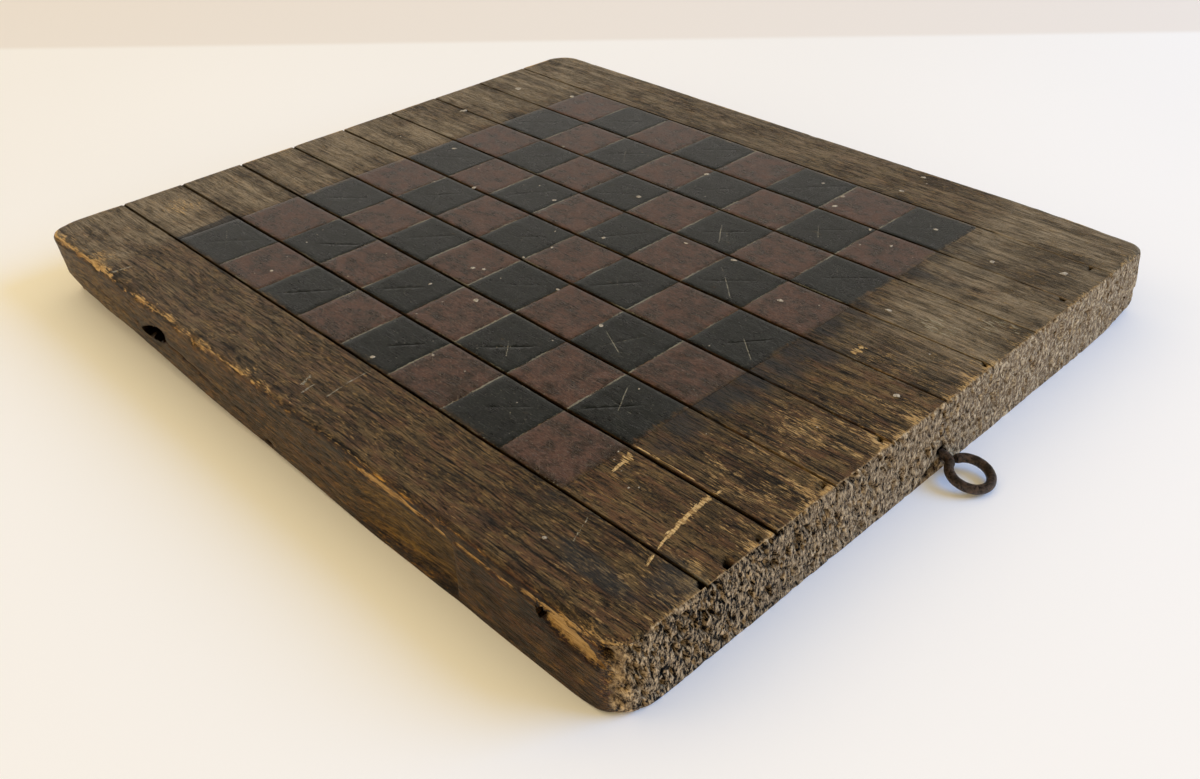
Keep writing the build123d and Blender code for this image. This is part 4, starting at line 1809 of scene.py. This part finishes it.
@dataclass
class Flecks:
    """Small flat lens-shaped bits on the board's top, gathered for one mesh.

    Attributes:
        plank: The wood that they lie on.
        rng: Source of their uneven outlines.
        proud: How far the paint film lifts them, in mm.
        around: Corners of a bit's outline.
        points: Vertices so far, in mm.
        faces: Faces so far, as vertex numbers.
    """

    plank: Plank
    rng: np.random.Generator
    proud: float = 0.08
    around: int = 10
    points: list[list[float]] = field(default_factory=list)
    faces: list[list[int]] = field(default_factory=list)

    def clear_of_lines(self, x: float, y: float, gap: float) -> bool:
        """Returns whether a place is further than a gap from the middle of every long line."""
        lines = self.plank.lines
        share = (y + self.plank.length / 2) / self.plank.length
        for line, front, back in zip(lines.long_lines(), lines.front_wander, lines.back_wander):
            if abs(x - line - front - (back - front) * share) < gap:
                return False
        return True

    def add(self, x: float, y: float, along: float, across: float, turn: float, rise: float) -> None:
        """Adds one bit.

        Args:
            x: Its middle, in mm.
            y: The same along the board, in mm.
            along: Half its length, in mm.
            across: Half its width, in mm.
            turn: Direction of its length from the x axis, in radians.
            rise: How far its middle stands out, in mm.
        """
        start = len(self.points)
        angle = np.linspace(0.0, 2.0 * math.pi, self.around, endpoint=False)
        uneven = 1.0 + self.rng.uniform(-0.26, 0.26, self.around)
        a, b = along * uneven * np.cos(angle), across * uneven * np.sin(angle)
        cos, sin = math.cos(turn), math.sin(turn)
        shape = np.column_stack([a * cos - b * sin, a * sin + b * cos])
        for share, lift in ((1.0, -0.25), (1.0, 0.3 * rise), (0.62, 0.85 * rise)):
            place = np.array([x, y]) + share * shape
            z = self.plank.thickness - self.plank.dish(place) + self.proud + lift
            self.points.extend(raised(place, z).tolist())
        middle = np.array([[x, y]])
        z = float(self.plank.thickness - self.plank.dish(middle)[0]) + self.proud
        self.points.extend([[x, y, z + rise], [x, y, z - 0.3]])
        count = self.around
        peak, last = start + 3 * count, start + 2 * count
        pairs = [(k, (k + 1) % count) for k in range(count)]
        for low in (start, start + count):
            self.faces.extend([low + k, low + n, low + count + n, low + count + k] for k, n in pairs)
        self.faces.extend([last + k, last + n, peak] for k, n in pairs)
        self.faces.extend([start + n, start + k, peak + 1] for k, n in pairs)


@dataclass
class PaintSpatter:
    """Small drops of pale paint that fell on the board and dried.

    Attributes:
        plank: The wood that they lie on.
        drops: x, y and radius of each drop that stands out, in mm.
        dust: How many tiny ones lie between them.
        seed: Picks their sizes and where the tiny ones lie.
    """

    plank: Plank
    drops: tuple[Triple, ...] = (
        (-110.0, -12.0, 0.9), (-61.0, -8.0, 1.2), (1.0, 68.0, 0.9), (-101.0, 67.0, 0.7), (43.0, 9.0, 1.2),
        (27.0, -57.0, 1.0), (-42.0, -54.0, 0.9), (92.0, -57.0, 1.1), (102.0, -54.0, 1.0), (102.0, -99.0, 0.9),
        (36.0, -121.0, 0.9), (93.0, -129.0, 1.0), (103.0, -153.0, 1.3), (105.0, 116.0, 1.3),
        (123.0, -69.0, 1.0), (141.0, -68.0, 1.0), (-7.0, -153.0, 1.1), (55.0, 142.0, 1.4), (94.0, 145.0, 1.6),
        (22.0, 108.0, 1.0), (84.0, -80.0, 0.7), (58.0, 72.0, 0.8), (80.0, 3.0, 1.0), (78.0, -94.0, 0.7),
        (16.0, 33.0, 0.9), (6.0, -7.0, 0.8), (25.0, -34.0, 0.7), (15.0, -89.0, 1.0), (-46.0, 12.0, 0.9),
        (-44.0, 8.0, 0.8), (-35.0, -24.0, 0.6), (-27.0, 4.0, 0.6), (-95.0, -26.0, 0.6), (107.0, -40.0, 0.7),
        (-14.0, 2.0, 0.6), (-65.0, 14.0, 0.7), (-131.0, -122.0, 0.7),
    )
    dust: int = 70
    seed: int = 23

    def build(self) -> Object:
        """Builds the drops as low, uneven domes.

        Returns:
            The object, not yet dressed.
        """
        rng = np.random.default_rng(self.seed)
        bits = Flecks(self.plank, rng)
        for x, y, size in self.drops:
            bits.add(x, y, size * rng.uniform(1.0, 1.25), size * 0.85, rng.uniform(0.0, 3.1), 0.1)
        for _ in range(self.dust):
            x, y, size = rng.uniform(-112, 138), rng.uniform(-150, 150), rng.uniform(0.2, 0.42)
            if bits.clear_of_lines(x, y, 1.3):
                bits.add(x, y, size, size * 0.85, 0.0, 0.06)
        LOG.info("paint_spatter: %d faces", len(bits.faces))
        return make_mesh("paint_spatter", np.array(bits.points), bits.faces, None, {})

    def dress(self, made: Object, finish: DrySpecks) -> None:
        """Gives the drops their old white oil paint: a chalky, yellowed white."""
        made.data.materials.append(finish.material())
        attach(made, "board")


@dataclass(frozen=True)
class Scrape:
    """One band on the top where something scraped over the board.

    Attributes:
        points: x and y along its middle, in mm.
        width: Its width, in mm.
        strand: Half length and half width of one torn strand, in mm.
        per_mm: How many strands there are for each mm of it.
        with_grain: True where the strands lie along the grain, False where they follow the band.
    """

    points: tuple[Pair, ...]
    width: float
    strand: Pair
    per_mm: float
    with_grain: bool


@dataclass
class TornFibres:
    """Raw strands of wood and chalky scuffs where the dark skin was scraped off the top.

    Attributes:
        plank: The wood that they belong to.
        name: The object's name.
        scrapes: Where they are.
        seed: Picks the strands.
    """

    plank: Plank
    name: str
    scrapes: tuple[Scrape, ...]
    seed: int

    def build(self) -> Object:
        """Builds the strands.

        Returns:
            The object, not yet dressed.
        """
        rng = np.random.default_rng(self.seed)
        bits = Flecks(self.plank, rng, proud=0.05, around=8)
        for scrape in self.scrapes:
            for start, end in zip(scrape.points, scrape.points[1:]):
                run = np.array(end) - np.array(start)
                length = float(np.linalg.norm(run))
                unit = run / length
                for _ in range(round(length * scrape.per_mm)):
                    offset = rng.normal(0.0, 0.32) * scrape.width
                    aside = np.array([-unit[1], unit[0]]) * offset
                    spot = np.array(start) + run * rng.uniform(0.0, 1.0) + aside
                    long = scrape.strand[0] * rng.uniform(0.5, 1.4)
                    wide = scrape.strand[1] * rng.uniform(0.6, 1.4)
                    turn = math.pi / 2 if scrape.with_grain else math.atan2(unit[1], unit[0])
                    if bits.clear_of_lines(spot[0], spot[1], 0.9 + long * abs(math.cos(turn))):
                        bits.add(spot[0], spot[1], long, wide, turn + rng.normal(0.0, 0.05), 0.03)
        LOG.info("%s: %d faces", self.name, len(bits.faces))
        return make_mesh(self.name, np.array(bits.points), bits.faces, None, {})

    def dress(self, made: Object, finish: DrySpecks) -> None:
        """Gives the strands a dry, rough finish that is paler than the skin round them."""
        made.data.materials.append(finish.material())
        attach(made, "board")


RAW_SCRAPES = (
    Scrape(((-119.0, -149.5), (-110.0, -146.5), (-100.0, -144.5)), 0.7, (0.9, 0.1), 6.0, False),
    Scrape(((-106.0, -145.6), (-98.0, -144.2), (-90.0, -143.4), (-82.5, -143.5)), 1.3, (0.8, 0.1), 10.0,
           False),
    Scrape(((-100.0, -144.2), (-91.0, -143.2), (-84.0, -143.2)), 1.8, (0.5, 0.09), 5.0, True),
    Scrape(((-97.0, -114.8), (-91.5, -113.8)), 0.9, (0.8, 0.09), 8.0, False),
    Scrape(((-92.5, -114.0), (-87.3, -113.2)), 1.7, (0.9, 0.1), 9.0, True),
    Scrape(((-83.6, -112.5), (-83.6, -136.0)), 0.5, (1.4, 0.09), 1.2, True),
    Scrape(((4.0, -129.0), (10.0, -128.5)), 1.8, (0.8, 0.2), 4.0, True),
)
CHALKY_SCRAPES = (
    Scrape(((-134.0, -20.5), (-125.0, -19.0), (-115.5, -18.3)), 0.35, (0.7, 0.08), 1.6, False),
    Scrape(((-137.0, -8.5), (-134.0, -8.0), (-131.0, -6.0)), 0.9, (0.5, 0.13), 3.4, False),
    Scrape(((-138.5, -12.5), (-133.0, -11.5)), 0.6, (0.7, 0.1), 1.4, False),
    Scrape(((-126.0, -128.5), (-117.0, -124.5)), 0.3, (0.6, 0.08), 1.2, False),
    Scrape(((-80.0, -46.0), (-70.0, -36.0)), 5.0, (0.4, 0.12), 3.0, False),
    Scrape(((-84.0, -34.0), (-76.0, -31.0)), 1.6, (0.8, 0.1), 2.0, False),
    Scrape(((-88.0, -36.0), (-78.0, -32.5)), 1.2, (0.9, 0.1), 1.6, False),
    Scrape(((-104.0, -40.0), (-92.0, -34.0)), 3.0, (0.5, 0.12), 1.2, False),
    Scrape(((-143.5, 111.5), (-137.0, 110.5)), 0.8, (0.9, 0.14), 2.0, False),
    Scrape(((32.0, -47.0), (50.0, -34.0)), 3.0, (0.7, 0.09), 1.8, False),
    Scrape(((40.0, -134.0), (36.0, -146.0)), 8.0, (1.6, 0.12), 3.0, True),
    Scrape(((48.0, -150.0), (60.0, -158.0)), 7.0, (1.5, 0.12), 2.4, True),
)


@dataclass
class ScrewEye:
    """The iron screw eye that the board hangs by: threaded shank, bend and nearly closed ring.

    Attributes:
        place: Where its shank's axis meets the front end, in mm.
        droop: How far it points below the level, in degrees.
        wire_radius: Half the wire's thickness, in mm.
        ring_radius: From the ring's centre to the wire's centre, in mm.
        ring_reach: From the front end to the ring's centre, in mm.
        bend_radius: Radius of the bend into the ring, in mm.
        end_gap: Gap between the wire's end and its bend, in mm.
        shank_depth: How deep the point sits in the wood, in mm.
        thread_length: Length of the thread, in mm.
        thread_pitch: Distance between its turns, in mm.
        thread_root: Radius at its root, in mm.
        thread_step: Distance between the sections that draw the thread, in mm.
        point_length: Length of the point, in mm.
        point_taper: How far the taper runs on into the thread, in mm.
        tip_radius: Radius at the point's very end, in mm.
        around: Sides of the wire's section.
        noise: Source of its unevenness.
    """

    place: Triple = (3.9, -167.0, 6.0)
    droop: float = 12.0
    wire_radius: float = 1.75
    ring_radius: float = 7.0
    ring_reach: float = 10.5
    bend_radius: float = 3.0
    end_gap: float = 0.3
    shank_depth: float = 22.0
    thread_length: float = 15.0
    thread_pitch: float = 1.7
    thread_root: float = 1.25
    thread_step: float = 0.17
    point_length: float = 3.0
    point_taper: float = 0.9
    tip_radius: float = 0.3
    around: int = 28
    noise: ValueNoise = field(default_factory=lambda: ValueNoise(41))

    def path(self) -> Array:
        """Draws the wire's centre line.

        Returns:
            Points in the eye's own plane, first outward along the shank and then towards +x, in mm.
        """
        both = self.ring_radius + self.bend_radius
        share = self.ring_radius / both
        start = self.ring_reach - math.sqrt(both**2 - self.bend_radius**2)
        touch = (self.ring_reach + share * (start - self.ring_reach), -share * self.bend_radius)
        thread_start = self.point_length - self.shank_depth
        shank = [-self.shank_depth, -self.shank_depth + 1.5]
        shank += list(np.arange(thread_start, thread_start + self.thread_length, self.thread_step))
        shank += list(np.arange(thread_start + self.thread_length + 0.2, start - 0.3, 0.5))
        line = [(a, 0.0) for a in shank]
        bend = math.atan2(touch[1] + self.bend_radius, touch[0] - start)
        for k in range(7):
            turn = math.pi / 2 + (bend - math.pi / 2) * k / 6
            cos, sin = math.cos(turn), math.sin(turn)
            line.append((start + self.bend_radius * cos, -self.bend_radius + self.bend_radius * sin))
        first = math.atan2(touch[1], touch[0] - self.ring_reach)
        gap = math.asin((self.wire_radius + self.end_gap) / (self.ring_radius + self.wire_radius))
        last = math.pi - gap
        for k in range(1, 81):
            turn = first + (last - first) * k / 80
            cos, sin = math.cos(turn), math.sin(turn)
            line.append((self.ring_reach + self.ring_radius * cos, self.ring_radius * sin))
        return np.array(line)

    def build(self) -> Object:
        """Sweeps the wire along its path.

        Returns:
            The object, not yet dressed.
        """
        line = self.path()
        tangent = np.gradient(line, axis=0)
        tangent /= np.linalg.norm(tangent, axis=1)[:, None]
        normal = np.stack([-tangent[:, 1], tangent[:, 0]], -1)
        tilt = math.radians(self.droop)
        out = np.array([0.0, -math.cos(tilt), -math.sin(tilt)])
        side = np.array([1.0, 0.0, 0.0])
        up = np.array([0.0, -math.sin(tilt), math.cos(tilt)])
        thread_start = self.point_length - self.shank_depth
        thread_end = thread_start + self.thread_length
        turn = np.linspace(0.0, 2.0 * math.pi, self.around, endpoint=False)
        points = []
        for number, ((a, b), (nx, ny)) in enumerate(zip(line, normal)):
            radius = np.full(self.around, self.wire_radius)
            if b == 0.0 and a < thread_end:
                phase = ((a - thread_start) / self.thread_pitch - turn / (2.0 * math.pi)) % 1.0
                crest = held(1.0 - np.abs(phase - 0.5) / 0.27) ** 0.8
                radius = self.thread_root + (self.wire_radius - 0.03 - self.thread_root) * crest
                if a < thread_start + self.point_taper:
                    share = (a + self.shank_depth) / (self.point_length + self.point_taper)
                    blunt = self.tip_radius + (self.thread_root - self.tip_radius) * share
                    radius = np.full(self.around, blunt)
            centre = np.array(self.place) + out * a + side * b
            arm = np.cos(turn)[:, None] * (out * nx + side * ny) + np.sin(turn)[:, None] * up
            ring = centre + arm * radius[:, None]
            if a > -4.0 or b != 0.0:
                worn = 0.07 + 0.05 * self.noise.at(ring, (1.3, 1.3, 1.3), 2)
                worn += 0.04 * self.noise.at(ring, (5.0, 5.0, 5.0))
                squeeze = 0.03 * np.cos(turn * 2.0 + number * 0.03)
                near_end = len(line) - 1 - number
                rolled = 0.25 * max(0.0, 1.0 - near_end / 2.0)
                ring = centre + arm * (radius - worn - np.abs(squeeze) - rolled)[:, None]
            points.append(ring)
        count = len(points)
        solid = np.concatenate([*points, [points[0].mean(0)], [points[-1].mean(0)]])
        faces, chart = [], []
        for r in range(count - 1):
            a, b = r * self.around, (r + 1) * self.around
            for k in range(self.around):
                nxt = (k + 1) % self.around
                faces.append([a + k, b + k, b + nxt, a + nxt])
                low, high = r / count, (r + 1) / count
                here, there = k / (self.around + 1), (k + 1) / (self.around + 1)
                chart.append([(here, low), (here, high), (there, high), (there, low)])
        tip, stub = count * self.around, count * self.around + 1
        last = (count - 1) * self.around
        corner = [(0.98, 0.98), (0.99, 0.98), (0.99, 0.99)]
        for k in range(self.around):
            nxt = (k + 1) % self.around
            faces.extend([[tip, k, nxt], [stub, last + nxt, last + k]])
            chart.extend([corner, corner])
        LOG.info("screw_eye: %d faces", len(faces))
        return make_mesh("screw_eye_rusted", solid, faces, chart, {})

    def dress(self, made: Object, finish: RustedWire) -> None:
        """Gives the eye its rusted wire and its place in the frame."""
        made.data.materials.append(finish.material())
        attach(made, "eye")
        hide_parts("screw_eye")


@dataclass(frozen=True)
class Lamp:
    """One soft round lamp that looks at the board.

    Attributes:
        name: The lamp's name.
        place: Where it hangs, in metres.
        size: Its width, in metres.
        power: Its power, in watts.
        colour: Its colour.
    """

    name: str
    place: Triple
    size: float
    power: float
    colour: str

    def hang(self) -> None:
        """Hangs the lamp, unseen by reflections, so that the flat paint doesn't mirror it."""
        data = bpy.data.lights.new(self.name, "AREA")
        data.shape = "DISK"
        data.size = self.size
        data.energy = self.power
        data.color = linear(self.colour)[:3]
        made = bpy.data.objects.new(self.name, data)
        made.visible_glossy = False
        bpy.context.scene.collection.objects.link(made)
        made.location = self.place
        made.rotation_euler = (-Vector(self.place)).to_track_quat("-Z", "Y").to_euler()


@dataclass(frozen=True)
class Studio:
    """The pale table, the daylight from the right, the warm room light from the left, and the camera.

    Attributes:
        table: Colour of the table's white laminate.
        cloudy: Colour of its brightest patches.
        beyond: Colour of the floor that shows past the table.
        room: Colour of the pale wall that the camera and reflections see.
        ceiling: Colour above it.
        soft: Colour of the soft light from all round.
        ambient: Strength of that light.
        lamps: The lamps.
        floor_half: Half the width of the floor, in mm.
        table_reach: From the camera to the table's far edge, in mm.
        table_skew: How much that edge is turned, as a slope.
        table_blur: Half the width of the soft edge, in mm.
        lens: Focal length of the camera, in mm.
        sensor: Width of its sensor, in mm.
        eye: Where it stands, in mm.
        right: Direction of the picture's right.
        down: Direction of the picture's foot.
        ahead: Direction that it looks in.
    """

    table: str = "#f8f7f4"
    cloudy: str = "#ffffff"
    beyond: str = "#efe9e2"
    room: str = "#ede6dd"
    ceiling: str = "#1d1b18"
    soft: str = "#fde8bc"
    ambient: float = 0.97
    lamps: tuple[Lamp, ...] = (
        Lamp("window_daylight", (1.75, -1.9, 1.55), 1.9, 82.0, "#5caaff"),
        Lamp("warm_room_lamp", (-1.1, 0.8, 1.1), 0.9, 2.0, "#ffe0b8"),
    )
    floor_half: float = 6000.0
    table_reach: float = 753.0
    table_skew: float = 0.0334
    table_blur: float = 5.0
    lens: float = 35.106
    sensor: float = 36.0
    eye: Triple = (-286.7, -307.8, 244.2)
    right: Triple = (0.711631, -0.702252, -0.020564)
    down: Triple = (-0.410842, -0.392229, -0.823022)
    ahead: Triple = (0.569903, 0.594137, -0.567637)

    def floor(self) -> None:
        """Lays the white table, and the duller floor that starts a little behind the board."""
        away = np.array([*self.ahead[:2], 0.0])
        away /= np.linalg.norm(away)
        middle = np.array([*self.eye[:2], 0.0]) + away * self.table_reach
        square = away + np.array([away[1], -away[0], 0.0]) * self.table_skew
        square /= np.linalg.norm(square)
        corners = [[sx * self.floor_half, sy * self.floor_half, 0.0] for sx, sy in
                   ((-1, -1), (1, -1), (1, 1), (-1, 1))]
        made = make_mesh("table_top", np.array(corners), [[0, 1, 2, 3]], None, {})
        weave = Weave.named("white_laminate_table")
        cloud = weave.noise((400.0, 400.0, 400.0), 1.0)
        colour = cloud.ramp(0.3, 0.7, 0.0, 0.25).blend(self.table, self.cloudy)
        links = {0: weave.own_space(), 1: tuple(square)}
        settings = {"operation": "DOT_PRODUCT"}
        behind = add_node(weave.material.node_tree, "VectorMath", settings, links, "Value")
        behind = behind - float(middle @ square) * MM
        colour = behind.ramp(-self.table_blur * MM, self.table_blur * MM).blend(colour, self.beyond)
        made.data.materials.append(weave.finish(colour, cloud.ramp(0.3, 0.7, 0.55, 0.6)))

    def backdrop(self) -> None:
        """Sets the world: soft light, and the pale wall that the camera and reflections see."""
        world = bpy.data.worlds.new("pale_room")
        bpy.context.scene.world = world
        world.use_nodes = True
        tree = world.node_tree
        shown = next(node for node in tree.nodes if node.type == "BACKGROUND")
        rays = ("Camera", "Glossy", "Transmission")
        camera, glossy, clear = (add_node(tree, "LightPath", output=f"Is {ray} Ray") for ray in rays)
        seen = camera.higher(glossy.higher(clear))
        ways = add_node(tree, "TexCoord", output="Generated")
        height = add_node(tree, "SeparateXYZ", None, {0: ways}, "Z")
        wall = height.ramp(0.24, 0.55).blend(self.room, self.ceiling)
        feed(shown.inputs["Color"], seen.blend(self.soft, wall))
        feed(shown.inputs["Strength"], seen.ramp(0.0, 1.0, self.ambient, 1.0))

    def camera(self) -> None:
        """Stands the camera where the photograph was taken from."""
        data = bpy.data.cameras.new("camera")
        data.sensor_width = self.sensor
        data.lens = self.lens
        data.clip_start = 0.01
        made = bpy.data.objects.new("camera", data)
        bpy.context.scene.collection.objects.link(made)
        turn = Matrix((self.right, tuple(-d for d in self.down), tuple(-a for a in self.ahead))).transposed()
        made.matrix_world = Matrix.Translation(Vector(self.eye) * MM) @ turn.to_4x4()
        bpy.context.scene.camera = made

    def build(self) -> None:
        """Sets up the whole studio."""
        self.floor()
        self.backdrop()
        for lamp in self.lamps:
            lamp.hang()
        self.camera()
        bpy.context.scene.view_settings.view_transform = "Standard"


def main() -> None:
    """Builds every piece of the board in order and sets up the studio."""
    logging.basicConfig(level=logging.INFO, format="%(name)s: %(message)s")
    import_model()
    wood = AgedPine()
    plank = Plank(PlayingField())
    plank.dress(plank.build(), wood)
    black_green = ("#0f100d", "#1b1e19", "#0a0907", "#080806", "#454940")
    dark = PaintedSquares(Parity.DARK, "dark_paint", "dark_squares", "dark_paint", plank)
    dark.dress(dark.build(), OldOilPaint("dark_oil_paint_worn", *black_green, wood))
    red_oxide = ("#302318", "#5a3d30", "#1d130d", "#1a120c", "#83705d")
    red = PaintedSquares(Parity.RED, "red_paint", "red_squares", "red_paint", plank)
    red.dress(red.build(), OldOilPaint("red_oxide_paint_worn", *red_oxide, wood))
    spatter = PaintSpatter(plank)
    drops = DrySpecks("old_white_oil_paint_spots", "#7d7262", "#bdb3a0", (0.6, 0.6, 0.6), 2.0, 4.0,
                      (0.35, 0.65), (0.5, 0.7), 0.1, 0.5)
    spatter.dress(spatter.build(), drops)
    raw = TornFibres(plank, "torn_raw_strands", RAW_SCRAPES, 71)
    raw.dress(raw.build(), DrySpecks("pine_strands_torn_raw", "#927143", "#cfb07a"))
    chalky = TornFibres(plank, "chalky_scuffs", CHALKY_SCRAPES, 72)
    chalky.dress(chalky.build(), DrySpecks("scuffed_skin_chalky", "#6f6854", "#a59d88"))
    eye = ScrewEye()
    eye.dress(eye.build(), RustedWire())
    Studio().build()


if __name__ == "__main__":
    main()
